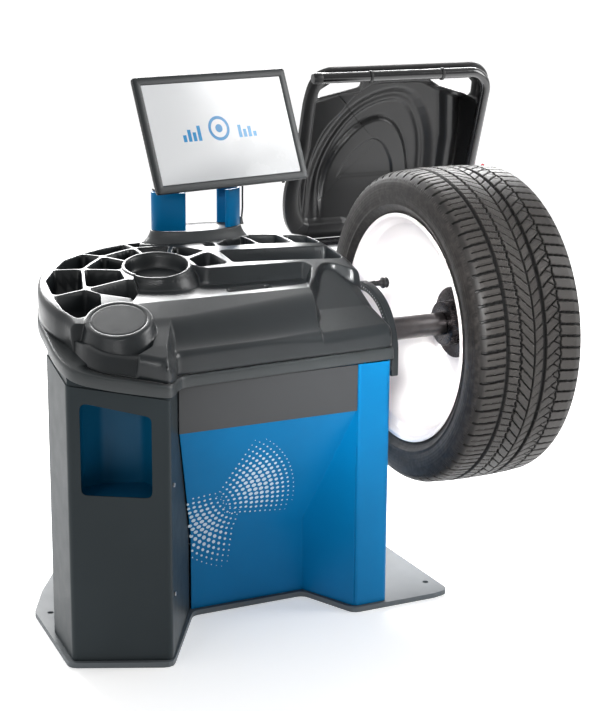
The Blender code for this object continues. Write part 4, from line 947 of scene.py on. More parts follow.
def tyre():
    around = PITCHES * 20
    half = (TYRE_RIGHT - TYRE_LEFT) / 2
    wall = [
        (0.1165, 0.2573), (0.1215, 0.2640), (0.1245, 0.2725), (0.1300, 0.2815), (0.1345, 0.2885), (0.1362, 0.2925),
        (0.1372, 0.3000), (0.1392, 0.3100), (half, 0.3190), (0.1396, 0.3290), (0.1380, 0.3385), (0.1352, 0.3470),
        (0.1320, 0.3535), (0.1275, 0.3590), (0.1210, 0.3635), (0.1130, 0.3665),
    ]
    wall = smooth_plan(wall)
    flat = np.linspace(0.1105, -0.1105, 112)
    crown = TYRE_RADIUS - 0.0042 * (np.abs(flat) / 0.106) ** 2.4
    outer = [(-x, r) for x, r in wall] + [(-x, r) for x, r in zip(flat, crown)] + [(x, r) for x, r in wall[::-1]]
    inner = [(0.1030, 0.2573), (0.1070, 0.2760), (0.1220, 0.3180), (0.1070, 0.3540), (0.0, 0.3600)]
    inner = [*inner, *[(-x, r) for x, r in inner[:-1][::-1]]]
    outer = np.array(outer)
    x = TYRE_MIDDLE + outer[:, 0]
    turn = np.arange(around) / around * PITCHES
    grid_x, grid_turn = np.meshgrid(x, turn)
    depth = tread_depth(grid_x, grid_turn)
    reach = smooth_step(0.3545, 0.3600, outer[:, 1])
    radius = outer[:, 1][None, :] - depth * reach[None, :]
    # Ridges round the sidewall: rim protector, two fine rings, and a band of fine radial ribs near the shoulder
    level = outer[:, 1]
    side = np.abs(outer[:, 0]) > 0.1145
    swell = 0.0014 * ridge(level - 0.2925, 0.0022) + 0.0006 * ridge(level - 0.3460, 0.0008)
    swell += 0.0005 * ridge(level - 0.3060, 0.0007) - 0.0006 * ridge(level - 0.3360, 0.0008)
    push = np.where(side, swell, 0) * np.sign(outer[:, 0])
    ribbed = side & (level > 0.3475) & (level < 0.3535)
    ribs = 0.00035 * np.sign(np.sin(2 * math.pi * grid_turn * 5)) * ribbed
    grid_x = grid_x + push[None, :] + ribs * np.sign(outer[:, 0])[None, :]
    grid_x = np.clip(grid_x, TYRE_LEFT, TYRE_RIGHT)
    angle = 2 * math.pi * grid_turn / PITCHES
    skin = np.stack([grid_x, radius * np.cos(angle), SHAFT_Z + radius * np.sin(angle)], axis=2)
    inside = np.array(inner)
    inside_angle = angle[:, :1]
    lining = np.stack([
        np.broadcast_to(TYRE_MIDDLE + inside[:, 0], (around, len(inside))),
        inside[:, 1] * np.cos(inside_angle), SHAFT_Z + inside[:, 1] * np.sin(inside_angle),
    ], axis=2)
    whole = np.concatenate([skin, lining], axis=1)
    columns = whole.shape[1]
    mesh = make_mesh("tyre_rubber", whole.reshape(-1, 3), strip_faces(around, columns, True, True))
    relief = np.concatenate([depth * reach[None, :], np.zeros((around, len(inside)))], axis=1)
    attribute = mesh.attributes.new("groove_depth", "FLOAT", "POINT")
    attribute.data.foreach_set("value", relief.astype(np.float32).ravel())
    piece("tyre_rubber", mesh, "spindle", "tyre_rubber", TYRE, "tyre", sharp=50)


def tyre_finish():
    """Black rubber: tread faces painted a little lighter and grooves and sipes painted darker, as painted light and
    shade; fine sipes, brushed sidewall.
    """
    made = Finish("tyre_finish", (0.012, 0.0108, 0.0102), 0.52, specular=0.28)
    angle = (made.z - SHAFT_Z).math("ARCTAN2", made.y) / (2 * math.pi)
    turn = angle * float(PITCHES)
    pitch = 2 * math.pi * TYRE_RADIUS / PITCHES
    radius = (made.y * made.y + (made.z - SHAFT_Z) * (made.z - SHAFT_Z)).math("SQRT")
    made.mottle(30, 0.25, 4)

    def lines(rate, slope, start):
        phase = turn * rate + (made.x - TYRE_MIDDLE) * (slope * rate / pitch) + (start + 100.0)
        away = ((phase + 0.5).frac() - 0.5).abs() * (pitch / rate)
        return away.rise(SIPE + 0.0005, SIPE)

    ribs = None
    for rate, slope, start, middle, half in (
        (4, 0.5, 0.1, 0.2130, 0.0110), (4, -0.8, 0.3, 0.2465, 0.0130), (4, 0.6, 0.2, 0.2760, 0.0090),
        (4, 0.4, 0.0, 0.3140, 0.0150), (2, 0.1, 0.25, 0.1700, 0.0200),
    ):
        band = lines(rate, slope, start) * made.x.near(middle, half, 0.001)
        ribs = ribs.math("MAXIMUM", band) if ribs else band
    ribs = ribs * radius.rise(0.3620, 0.3640)
    groove_node = made.tree.nodes.new("ShaderNodeAttribute")
    groove_node.attribute_name = "groove_depth"
    deep = Field(made.tree, groove_node.outputs["Fac"]).rise(0.0005, 0.0035)
    tread = radius.rise(0.3600, 0.3650)
    # Painted light and shade: raised tread faces lighter, grooves and sipe lines darker, as the relief would be lit and
    # shaded.
    made.tint(tread * (deep * -1.0 + 1.0), (0.034, 0.031, 0.029))
    made.tint(deep, (0.006, 0.006, 0.006))
    made.tint(ribs, (0.008, 0.008, 0.008))
    side = radius.rise(0.3560, 0.3500)
    made.tint(side * made.noise(90, 4).rise(0.35, 0.75) * 0.7, (0.036, 0.032, 0.030))
    made.rough(made.noise(60, 3), 0.38, 0.60)
    made.relief(made.noise(900, 3), 0.0004, 0.35)
    made.relief(ribs * -1.0, 0.0012, 0.8)
    brushed = (radius * 900.0).math("SINE") * side
    made.relief(brushed, 0.00012, 0.5)
    return made


def rim():
    barrel = fillet([
        (0.1360, 0.2622), (0.1500, 0.2560), (0.1620, 0.2455), (0.2000, 0.2425), (0.2600, 0.2395), (0.3200, 0.2370),
        (0.3600, 0.2400), (0.3830, 0.2500), (0.3965, 0.2622), (0.3975, 0.2700), (0.3950, 0.2714), (0.3915, 0.2700),
        (0.3905, 0.2640), (0.3840, 0.2565), (0.3520, 0.2535), (0.3300, 0.2440), (0.2050, 0.2465), (0.1800, 0.2535),
        (0.1490, 0.2565), (0.1425, 0.2640), (0.1410, 0.2700), (0.1380, 0.2714), (0.1350, 0.2700),
    ], 0.006, 4)
    steps = 180
    parts = [lathe("barrel", barrel, steps)]
    face = WHEEL_FACE + 0.0004
    # The disc behind the spokes: a dished plate that meets the barrel near the outer flange
    front = [(face, 0.037), (face, 0.085), (face + 0.004, 0.088), (face + 0.012, 0.105), (face + 0.030, 0.150),
             (face + 0.044, 0.195), (face + 0.048, 0.225), (face + 0.044, 0.243)]
    back = [(face + 0.062, 0.246), (face + 0.064, 0.225), (face + 0.060, 0.195), (face + 0.047, 0.150),
            (face + 0.032, 0.105), (face + 0.030, 0.080), (face + 0.030, 0.042), (face + 0.026, 0.037)]
    disc_profile = fillet(front + back, 0.004, 3)
    disc = lathe("disc", disc_profile, 180)
    cutters = []
    for index in range(5):
        turn = 2 * math.pi * index / 5 + math.radians(54)
        outline = [(0.112, -0.012), (0.112, 0.012), (0.150, 0.050), (0.212, 0.088), (0.222, 0.060), (0.224, 0.0),
                   (0.222, -0.060), (0.212, -0.088), (0.150, -0.050)]
        outline = fillet(outline, [0.012, 0.012, 0.02, 0.016, 0, 0, 0, 0.016, 0.02], 5)
        places = []
        for p in outline:
            y = p.x * math.cos(turn) - p.y * math.sin(turn)
            z = p.x * math.sin(turn) + p.y * math.cos(turn)
            places.append((y, SHAFT_Z + z))
        cutters.append(prism("window", places, 0.28, 0.42, "x", 0.0001, 1))
    for index in range(5):
        turn = 2 * math.pi * index / 5 + math.radians(18)
        y, z = 0.056 * math.cos(turn), SHAFT_Z + 0.056 * math.sin(turn)
        ring = [(y + 0.0075 * math.cos(a), z + 0.0075 * math.sin(a)) for a in np.linspace(0, 2 * math.pi, 24, False)]
        cutters.append(prism("bolt_hole", ring, 0.28, 0.42, "x", 0.0001, 1))
    softened = ("BEVEL", {"width": 0.004, "segments": 3, "angle_limit": math.radians(50)})
    parts.append(carved(disc, cutters, "EXACT", after=[softened]))
    made = joined("rim_casting", *parts)
    piece("rim_casting", made, "spindle", "rim_paint", RIM, "wheel_rim", sharp=32)
    # The valve: rubber stem and its cap, both in the black finish
    turn = math.radians(-104)
    start = Vector((RIM_RIGHT - 0.112, math.cos(turn) * 0.2315, SHAFT_Z + math.sin(turn) * 0.2315))
    heading = Vector((-0.35, -math.cos(turn) * 0.9, -math.sin(turn) * 0.9)).normalized()
    stops = [(0.000, 0.0041), (0.002, 0.0042), (0.012, 0.0034), (0.022, 0.0030), (0.024, 0.0036), (0.026, 0.0041),
             (0.039, 0.0041), (0.0415, 0.0030), (0.042, 0.0010)]
    stem = tube("valve", [start + heading * along for along, _ in stops], [radius for _, radius in stops], 24)
    piece("valve", stem, "spindle", "black_plastic", BLACK, "tyre_valve", sharp=30)


def rim_finish():
    made = Finish("rim_finish", (0.91, 0.88, 0.87), 0.38, coat=0.3, coat_roughness=0.2)
    made.mottle(6, 0.05)
    # Painted shade: the barrel turns darker and pinker towards its open side at low x, where the tyre shades it.
    away = made.x.rise(0.30, 0.14)
    made.tint(away * 0.5, (0.86, 0.78, 0.78))
    made.tint(made.noise(14, 4).rise(0.55, 0.85) * 0.30, (0.80, 0.74, 0.72))
    made.rough(made.noise(50, 3), 0.28, 0.44)
    made.relief(made.noise(260, 3), 0.0003, 0.3)
    return made


FLANGE = machined("flange_steel", (0.045, 0.040, 0.041), 0.26, (0.15, 1, 1))
TYRE = tyre_finish()
RIM = rim_finish()
spindle()
quick_nut()
tyre()
rim()


# Gauge


def bent_bar(line, width):
    """Outline of a flat bar along a line, with rounded ends."""
    left, right = [], []
    for index, point in enumerate(line):
        along = (line[min(index + 1, len(line) - 1)] - line[max(index - 1, 0)]).normalized()
        normal = Vector((-along.y, along.x)) * width / 2
        left.append(point + normal)
        right.append(point - normal)
    return fillet(left + right[::-1], 0.004, 4)


def gauge():
    line = [(-0.163, 0.538), (-0.162, 0.600), (-0.152, 0.637), (-0.134, 0.668), (-0.110, 0.691), (-0.082, 0.706),
            (-0.050, 0.715), (-0.014, 0.717)]
    line = [Vector(point) for point in smooth_plan(line, 4)]
    blade = prism("blade", bent_bar(line, 0.020), GAUGE_X[0] + 0.0035, GAUGE_X[1], "x", 0.0015, 3)
    raised = bent_bar(line[2:-3], 0.0135)
    rib = prism("rib", raised, GAUGE_X[0], GAUGE_X[0] + 0.006, "x", 0.001, 2)
    hub = fillet([(GAUGE_X[0], 0.0005), (GAUGE_X[1] - 0.0005, 0.0005), (GAUGE_X[1] - 0.0005, 0.0098),
                  (GAUGE_X[0], 0.0098)], [0, 0, 0.001, 0.001], 3)
    boss = lathe("boss", hub, 48, (-0.163, 0.560))
    piece("gauge_blade", joined("gauge_blade", blade, rib, boss), "gauge", "tray_plastic", TRAY, "gauge_arm",
          sharp=32)
    marks = []
    for index, t in enumerate(np.linspace(0.42, 0.93, 15)):
        where = t * (len(line) - 1)
        base = int(where)
        along = (line[base + 1] - line[base]).normalized()
        spot = line[base].lerp(line[base + 1], where - base)
        normal = Vector((-along.y, along.x))
        length = 0.0045 if index % 5 == 0 else 0.003
        a, b = spot + normal * (0.0005 - length / 2), spot + normal * (0.0005 + length / 2)
        width = along * 0.0006
        marks.append(prism("mark", [a - width, a + width, b + width, b - width], GAUGE_X[0] - 0.00025,
                           GAUGE_X[0] + 0.0004, "x", 0.00005, 1))
    piece("gauge_scale", joined("gauge_scale", *marks), "gauge", "black_plastic", MARK)
    left = GAUGE_X[1] + 0.0004
    spool = fillet([
        (left, 0.0004), (0.0920, 0.0004), (0.0920, 0.0035), (0.0895, 0.0080), (0.0870, 0.0118), (0.0845, 0.0126),
        (0.0825, 0.0095), (0.0800, 0.0095), (0.0780, 0.0130), (0.0745, 0.0130), (0.0715, 0.0078), (0.0660, 0.0064),
        (0.0560, 0.0060), (0.0550, 0.0072), (0.0500, 0.0072), (0.0490, 0.0060), (left, 0.0060),
    ], [0, 0, 0.001, 0.001, 0.001, 0.001, 0.0005, 0.0005, 0.001, 0.001, 0.001, 0.001, 0, 0, 0, 0, 0], 3)
    piece("gauge_spool", lathe("gauge_spool", spool, 48, (-0.014, 0.717)), "gauge", "black_plastic", BLACK,
          "gauge_probe", sharp=28)


# Guard

PAN_FACE = TUBE_RADIUS + 0.0015


def guard_point(x, depth, v):
    """A point of the leaning guard: x across, depth behind its tube, v up from its pivot."""
    cos, sin = math.cos(GUARD_LEAN), math.sin(GUARD_LEAN)
    return (x, GUARD_PIVOT.y + depth * cos - v * sin, GUARD_PIVOT.z + depth * sin + v * cos)


def pan_depth(x, v):
    """How deep the pan is at a point: hood, pressed arches, panel, webs in the corners, and a flat foot."""
    hood = smooth_plan([
        (0.142, -0.05), (0.146, 0.120), (0.152, 0.224), (0.178, 0.306), (0.217, 0.354), (0.254, 0.402), (0.277, 0.416),
        (0.300, 0.430), (0.360, 0.433), (0.443, 0.433), (0.497, 0.412), (0.560, 0.392), (0.640, 0.350), (0.700, 0.300)])
    arch = smooth_plan([
        (0.176, -0.05), (0.180, 0.060), (0.190, 0.140), (0.212, 0.235), (0.256, 0.312), (0.312, 0.358),
        (0.385, 0.377), (0.438, 0.353), (0.476, 0.290), (0.495, 0.222), (0.503, 0.130), (0.506, -0.05)])
    second = smooth_plan([
        (0.196, -0.05), (0.200, 0.100), (0.224, 0.205), (0.256, 0.262), (0.302, 0.306), (0.354, 0.322),
        (0.399, 0.306), (0.437, 0.258), (0.462, 0.190), (0.478, 0.100), (0.482, -0.05)])
    panel = smooth_plan([
        (0.254, 0.159), (0.268, 0.190), (0.286, 0.220), (0.316, 0.250), (0.347, 0.262), (0.378, 0.246), (0.403, 0.210),
        (0.414, 0.185), (0.419, 0.159)])
    depth = 0.034 + 0.024 * smooth_step(-0.004, 0.014, side_of(x, v, hood[::-1]))
    inside = side_of(x, v, arch[::-1])
    depth = depth + 0.020 * smooth_step(-0.040, 0.0, inside) - 0.006 * ridge(inside, 0.0085)
    inner = side_of(x, v, second[::-1])
    depth = depth - 0.010 * smooth_step(-0.005, 0.012, inner) + 0.002 * ridge(inner, 0.006)
    middle = inside_by(x, v, panel)
    depth = depth + 0.005 * smooth_step(-0.004, 0.005, middle)
    fold = side_of(x, v, [(0.500, 0.60), (0.517, 0.392), (0.541, 0.270), (0.556, -0.05)])
    depth = depth - 0.022 * smooth_step(-0.004, 0.010, fold) + 0.055 * smooth_step(0.020, 0.085, fold)
    for web in (
        [(0.100, 0.500), (0.272, 0.500), (0.262, 0.412), (0.205, 0.408), (0.142, 0.392), (0.100, 0.380)],
        [(0.428, 0.500), (0.640, 0.500), (0.640, 0.340), (0.600, 0.378), (0.560, 0.398), (0.476, 0.420)],
    ):
        flat = smooth_step(-0.005, 0.006, inside_by(x, v, web))
        depth = depth * (1 - flat) + 0.021 * flat
    return PAN_FACE + (depth - PAN_FACE) * smooth_step(-0.010, 0.190, v)


def guard_shell():
    """A pressed pan with a flat lip, handle openings in its upper corners, and arches in its floor."""
    (left, right), (low, high) = GUARD_X, GUARD_V
    outline = smooth_plan([
        (0.160, high), (0.128, 0.472), (0.110, 0.446), (0.103, 0.410), (0.101, 0.370), (0.102, 0.280), (0.090, 0.200),
        (0.084, 0.150), (0.088, 0.100), (0.101, 0.056), (0.126, 0.022), (0.160, low)], 5)
    outline += fillet([(0.160, low), (right, low), (right, high), (0.160, high)], [0, 0.045, 0.062, 0], 14)
    base = resampled(outline, 0.0035)
    inward = left_normals(base)
    width = np.interp(base[:, 1], (0.03, 0.18, 0.29, 0.38), (0.036, 0.032, 0.025, 0.024))
    width = np.where(base[:, 0] > 0.30, 0.016, width)
    width = averaged(width, 10)
    centre = np.array(((left + right) / 2, (low + high) / 2))
    rows = []
    lip = ((0.0, 0.010), (0.0004, 0.004), (0.0016, 0.001), (0.0050, 0), (width, 0), (width + 0.004, 0.002))
    for inset, depth in lip:
        ring = base + inward * np.reshape(inset, (-1, 1))
        rows.append([guard_point(x, PAN_FACE + depth, v) for x, v in ring])
    for inset, share in ((0.007, 0.45), (0.010, 0.80), (0.015, 0.97)):
        ring = base + inward * (width[:, None] + inset)
        deep = PAN_FACE * (1 - share) + pan_depth(ring[:, 0], ring[:, 1]) * share
        rows.append([guard_point(x, d, v) for (x, v), d in zip(ring, deep)])
    last = base + inward * (width[:, None] + 0.016)
    for share in np.linspace(1.0, 0.03, 150):
        ring = centre + (last - centre) * share
        deep = pan_depth(ring[:, 0], ring[:, 1])
        rows.append([guard_point(x, d, v) for (x, v), d in zip(ring, deep)])
    columns = len(base)
    points = [p for row in rows for p in row]
    faces = strip_faces(len(rows), columns, wrap_columns=True)
    start = (len(rows) - 1) * columns
    middle = pan_depth(centre[:1], centre[1:])[0]
    points.append(guard_point(float(centre[0]), float(middle), float(centre[1])))
    for index in range(columns):
        faces.append([start + index, start + (index + 1) % columns, len(points) - 1])
    # The handle openings
    cutters = []
    for opening in (
        [(0.133, 0.404), (0.136, 0.424), (0.176, 0.449), (0.254, 0.449), (0.252, 0.430), (0.200, 0.418)],
        [(0.445, 0.447), (0.566, 0.447), (0.584, 0.431), (0.588, 0.390), (0.560, 0.402), (0.484, 0.425)],
    ):
        outline = fillet(opening, 0.010, 4)
        cutters.append(loft("opening", [[guard_point(p.x, depth, p.y) for p in outline] for depth in (-0.02, 0.12)]))
    thickness = ("SOLIDIFY", {"thickness": 0.0035, "offset": 0})
    pan = carved(make_mesh("guard_pan", points, faces), cutters, "FAST", before=[thickness])
    piece("guard_pan", pan, "guard", "guard_plastic", GUARD, "guard_shell", sharp=40)


def guard():
    guard_shell()
    corner = [(-0.135, 0), (0.615, 0), (0.615, TUBE_TOP_V), (0.128, TUBE_TOP_V)]
    path = fillet(corner, 0.055, 14, closed=False)
    bar = tube("guard_bar", [guard_point(p.x, 0, p.y) for p in path], TUBE_RADIUS, 28)
    piece("guard_bar", bar, "guard", "black_plastic", TUBE, "guard_tube", sharp=35)
    stops = [(0.1276, 0.0140), (0.1262, 0.0145), (0.1120, 0.0145), (0.1070, 0.0138), (0.1045, 0.0115), (0.1040, 0.006)]
    cap = tube("bar_cap", [guard_point(x, 0, TUBE_TOP_V) for x, _ in stops], [r for _, r in stops], 28)
    piece("bar_cap", cap, "guard", "black_plastic", BLACK, "guard_end_cap", sharp=35)
    for name, x in (("guard_tie_left", 0.262), ("guard_tie_right", 0.470)):
        rows = []
        for step in range(48):
            angle = 2 * math.pi * step / 48
            swell = 0.0014 if abs(math.sin(angle / 2 + 0.55)) < 0.22 else 0.0
            row = []
            for along, radius in ((0.0, 0.0139), (0.0, 0.0152), (0.0012, 0.0153 + swell), (0.0058, 0.0153 + swell),
                                  (0.0070, 0.0152), (0.0070, 0.0139)):
                row.append(guard_point(x + along, -radius * math.cos(angle), TUBE_TOP_V + radius * math.sin(angle)))
            rows.append(row)
        piece(name.replace("guard_", "strap_"), loft("strap", rows, ring=True), "guard", "black_plastic", BLACK, name)
    hook = smooth_path([
        (0.6335, 0, 0.165), (0.642, 0, 0.166), (0.650, 0, 0.169), (0.656, 0, 0.175), (0.6585, 0, 0.183),
        (0.658, 0, 0.192), (0.655, 0, 0.200),
    ], 5)
    radii = [0.0048] * (len(hook) - 3) + [0.0044, 0.0036, 0.0020]
    piece("red_hook", tube("red_hook", [guard_point(*p) for p in hook], radii, 20), "guard", "red_plastic", RED,
          "guard_hook")


# Screen


def oval(scale, steps=96):
    turns = np.linspace(0, 2 * math.pi, steps, endpoint=False)
    return [(UPRIGHT_CENTRE[0] + scale[0] * math.cos(t), UPRIGHT_CENTRE[1] + scale[1] * math.sin(t)) for t in turns]


def collar():
    sections = [(0.136, 0.072, 0.7760), (0.1365, 0.0725, 0.7800), (0.1355, 0.0715, 0.7850), (0.1325, 0.0685, 0.7905),
                (0.1280, 0.0640, 0.7970), (0.1240, 0.0602, 0.8050), (0.1212, 0.0582, 0.8130), (0.1196, 0.0572, 0.8190),
                (0.1185, 0.0563, 0.8222), (0.1165, 0.0545, 0.8236), (0.1135, 0.0515, 0.8236), (0.1120, 0.0500, 0.8220)]
    rows = [[(x, y, 0.776 + (z - 0.776) * 0.75) for x, y in oval((a * 0.97, b * 0.97))] for a, b, z in sections]
    gland = [(0.8100, 0.0062), (0.8130, 0.0062), (0.8145, 0.0052), (0.8240, 0.0036), (0.8280, 0.0030)]
    boss = tube("gland", [(-0.1210, 0.3460, z) for z, _ in gland], [radius for _, radius in gland], 24)
    piece("collar", joined("collar", loft("collar", rows), boss), "cabinet", "black_plastic", COLLAR, "monitor_collar",
          sharp=50)


def upright(name, side, node):
    """A curved blue blade with soft edges: an arc of an oval, 10 mm thick."""
    section = rectangle(0.005, (UPRIGHT_Z[1] - UPRIGHT_Z[0]) / 2, 0.001, 2, y=sum(UPRIGHT_Z) / 2)
    first, last = (130, 246) if side < 0 else (-56, 50)
    rows = []
    for step in range(41):
        t = step / 40
        angle = math.radians(first + (last - first) * t)
        x = UPRIGHT_CENTRE[0] + UPRIGHT_AXES[0] * math.cos(angle)
        y = UPRIGHT_CENTRE[1] + UPRIGHT_AXES[1] * math.sin(angle)
        normal = Vector((math.cos(angle) / UPRIGHT_AXES[0], math.sin(angle) / UPRIGHT_AXES[1])).normalized()
        ease = min(1.0, min(t, 1 - t) * 40 / 1.2)
        thick = math.sqrt(max(0.05, 1 - (1 - ease) ** 2))
        rows.append([(x + normal.x * p.x * thick, y + normal.y * p.x * thick, p.y) for p in section])
    piece(name, loft(name, rows), "cabinet", "blue_paint", BLUE, node, sharp=45)


def on_screen(x, depth, up):
    """A point of the tilted screen: x across, depth behind its face, up from its middle."""
    spot = Euler(SCREEN_ROTATION).to_matrix() @ Vector((x, depth, up))
    return SCREEN_CENTRE + spot


def screen_row(outline, depth):
    """An outline set on the tilted screen, as a row for a loft."""
    return [on_screen(p.x, depth, p.y) for p in outline]


def screen():
    collar()
    upright("upright_blade_left", -1, "monitor_upright_left")
    upright("upright_blade_right", 1, "monitor_upright_right")
    half_w, half_h = SCREEN_SIZE[0] / 2, SCREEN_SIZE[1] / 2
    border = 0.019

    def frame_rows(sections):
        return [screen_row(rectangle(half_w - grow, half_h - grow, radius), depth) for grow, depth, radius in sections]

    bezel = loft("bezel", frame_rows([
        (0.0004, 0.0040, 0.006), (0.0, 0.0020, 0.006), (0.0006, 0.0006, 0.006), (0.0018, 0.0, 0.005),
        (border - 0.003, 0.0, 0.002), (border - 0.001, 0.0006, 0.0012), (border, 0.0022, 0.001),
        (border, 0.0040, 0.001),
    ]), ring=True)
    piece("screen_bezel", bezel, "monitor", "black_plastic", BEZEL, "monitor_bezel", sharp=30)
    inner = border + 0.0004
    glass = loft("glass", frame_rows([(inner, 0.0012, 0.001), (inner, 0.0038, 0.001)]))
    piece("screen_panel", glass, "monitor", "screen_glass", GLASS, "monitor_screen", sharp=30)
    back = loft("back", frame_rows([
        (0.0, 0.0045, 0.006), (0.0, 0.0090, 0.006), (0.0010, 0.0120, 0.008), (0.0035, 0.0145, 0.010),
        (0.0100, 0.0175, 0.012), (0.0250, 0.0215, 0.014), (0.0450, 0.0245, 0.014), (0.0700, 0.0262, 0.012),
        (0.0900, 0.0268, 0.010),
    ]))
    bulge = loft("bulge", [
        screen_row(rectangle(0.130 - grow, 0.080 - grow, radius), depth) for grow, depth, radius in
        ((0.0, 0.0230, 0.012), (0.001, 0.034, 0.012), (0.004, 0.0395, 0.012), (0.009, 0.0418, 0.010),
         (0.016, 0.0420, 0.008))
    ])
    slots = []
    for index in range(13):
        outline = rectangle(0.0035, 0.00275, 0.0015, 3, -0.108 + index * 0.018, 0.06275)
        slots.append(loft("slot", [screen_row(outline, depth) for depth in (0.0400, 0.0424)]))
    piece("screen_back", joined("screen_back", back, bulge), "monitor", "black_plastic", BLACK,
          "monitor_housing", sharp=35)
    piece("screen_vents", joined("screen_vents", *slots), "monitor", "black_plastic", GLOSS)
    pivot = on_screen(0, 0.065, 0)
    stops = [(0.9096, 0.0118), (0.9104, 0.0120), (0.9180, 0.0120), (0.9200, 0.0112), (0.9260, 0.0108),
             (1.0150, 0.0108), (1.0260, 0.0100)]
    neck = tube("neck", [(pivot.x, pivot.y, z) for z, _ in stops], [r for _, r in stops], 32)
    turn = SCREEN_ROTATION[2]
    side = Vector((math.cos(turn), math.sin(turn), 0))
    ends = [(-0.0250, 0.0095), (-0.0240, 0.0110), (0.0240, 0.0110), (0.0250, 0.0095)]
    barrel = tube("barrel", [pivot + side * a for a, _ in ends], [r for _, r in ends], 32)
    piece("screen_neck", joined("screen_neck", neck, barrel), "monitor_neck", "black_plastic", BLACK,
          "monitor_swivel_post", sharp=35)
    plate = []
    for depth, grow in ((0.0424, 0.0), (0.0430, -0.0004), (0.0449, -0.0004), (0.0454, 0.0)):
        plate.append(screen_row(rectangle(0.050 + grow, 0.050 + grow, 0.006), depth))
    ear = fillet([(0.0440, -0.013), (0.0700, -0.013), (0.0765, 0.0), (0.0700, 0.013), (0.0440, 0.013)],
                 [0, 0.008, 0.010, 0.008, 0], 6)
    ears = []
    for x in (-0.030, 0.030):
        ears.append(loft("ear", [[on_screen(x + a, p.x, p.y) for p in ear] for a in (-0.002, 0.002)]))
    screws = []
    for x in (-0.042, 0.042):
        for up in (-0.042, 0.042):
            stops = [(0.0450, 0.0040), (0.0462, 0.0040), (0.0470, 0.0030), (0.0472, 0.0010)]
            screws.append(tube("screw", [on_screen(x, d, up) for d, _ in stops], [r for _, r in stops], 16))
    piece("screen_plate", joined("screen_plate", loft("plate", plate), *ears, *screws), "monitor", "dark_steel", STEEL,
          "monitor_mount_plate", sharp=35)
    stops = [(-0.0025, 0.0032), (-0.0022, 0.0040), (0.0010, 0.0040), (0.0026, 0.0036), (0.0030, 0.0020)]
    axis = Euler(SCREEN_ROTATION).to_matrix() @ Vector((0, 0, 1))
    spot = on_screen(0.150, 0.014, -half_h)
    key = tube("power_key", [spot + axis * a for a, _ in stops], [r for _, r in stops], 24)
    piece("power_key", key, "monitor_key", "black_plastic", GLOSS, "monitor_button", sharp=30)


def glass_finish():
    """A lit screen: a pale grey gradient with a generic abstract shape, no lettering."""
    made = Finish("screen_finish", (0.62, 0.63, 0.64), 0.12, specular=0.6)
    turn = Euler(SCREEN_ROTATION).to_matrix()
    right, up = turn @ Vector((1, 0, 0)), turn @ Vector((0, 0, 1))

    def along(axis, origin):
        offset = -axis.dot(origin)
        return made.x * axis.x + made.y * axis.y + made.z * axis.z + offset

    u, v = along(right, SCREEN_CENTRE), along(up, SCREEN_CENTRE)
    made.tint((v - u * 0.3).rise(-0.02, -0.12), (0.40, 0.41, 0.42))
    made.tint((u * 0.7 + v).rise(0.02, 0.16) * 0.8, (0.80, 0.81, 0.82))
    patches = made.noise(16, 5, roughness=0.6).rise(0.50, 0.515) * u.rise(0.0, 0.05) * 0.35
    made.tint(patches, (0.46, 0.47, 0.48))
    # A ring, a dot and two bar charts in the picture
    away = ((u + 0.010) * (u + 0.010) + (v - 0.004) * (v - 0.004)).math("SQRT")
    made.tint((away - 0.026).abs().rise(0.0042, 0.0034), (0.010, 0.180, 0.420))
    made.tint(away.rise(0.0105, 0.0095), (0.010, 0.180, 0.420))
    for x, height in (
        (-0.110, 0.016), (-0.096, 0.028), (-0.082, 0.021), (-0.068, 0.036),
        (0.048, 0.030), (0.062, 0.019), (0.076, 0.025), (0.090, 0.012),
    ):
        bar = u.near(x, 0.0045, 0.0006) * (v - (-0.022 + height / 2)).abs().rise(height / 2 + 0.0006, height / 2)
        made.tint(bar, (0.020, 0.220, 0.470))
    made.rough(made.noise(30, 2), 0.08, 0.16)
    sockets = made.shader.inputs
    made.tree.links.new(sockets["Base Color"].links[0].from_socket, sockets["Emission Color"])
    sockets["Emission Strength"].default_value = 0.22
    return made


# Monitor cable, a tube along a fixed path


def monitor_cable():
    path = smooth_path([
        (-0.150, 0.352, 0.9095), (-0.146, 0.352, 0.930), (-0.132, 0.350, 0.942), (-0.122, 0.345, 0.930),
        (-0.120, 0.340, 0.912), (-0.119, 0.342, 0.880), (-0.118, 0.344, 0.850), (-0.1195, 0.346, 0.826),
    ], 4)
    run = sum((b - a).length for a, b in zip(path, path[1:]))
    path = [tuple(point) for point in path]
    mesh = tube("screen_lead", path, 0.0022, 20)
    lead = piece("screen_lead", mesh, "cabinet", "black_plastic", LEAD, "monitor_cable", sharp=40)


# Front panel print: a halftone fan of small discs on the blue sheet


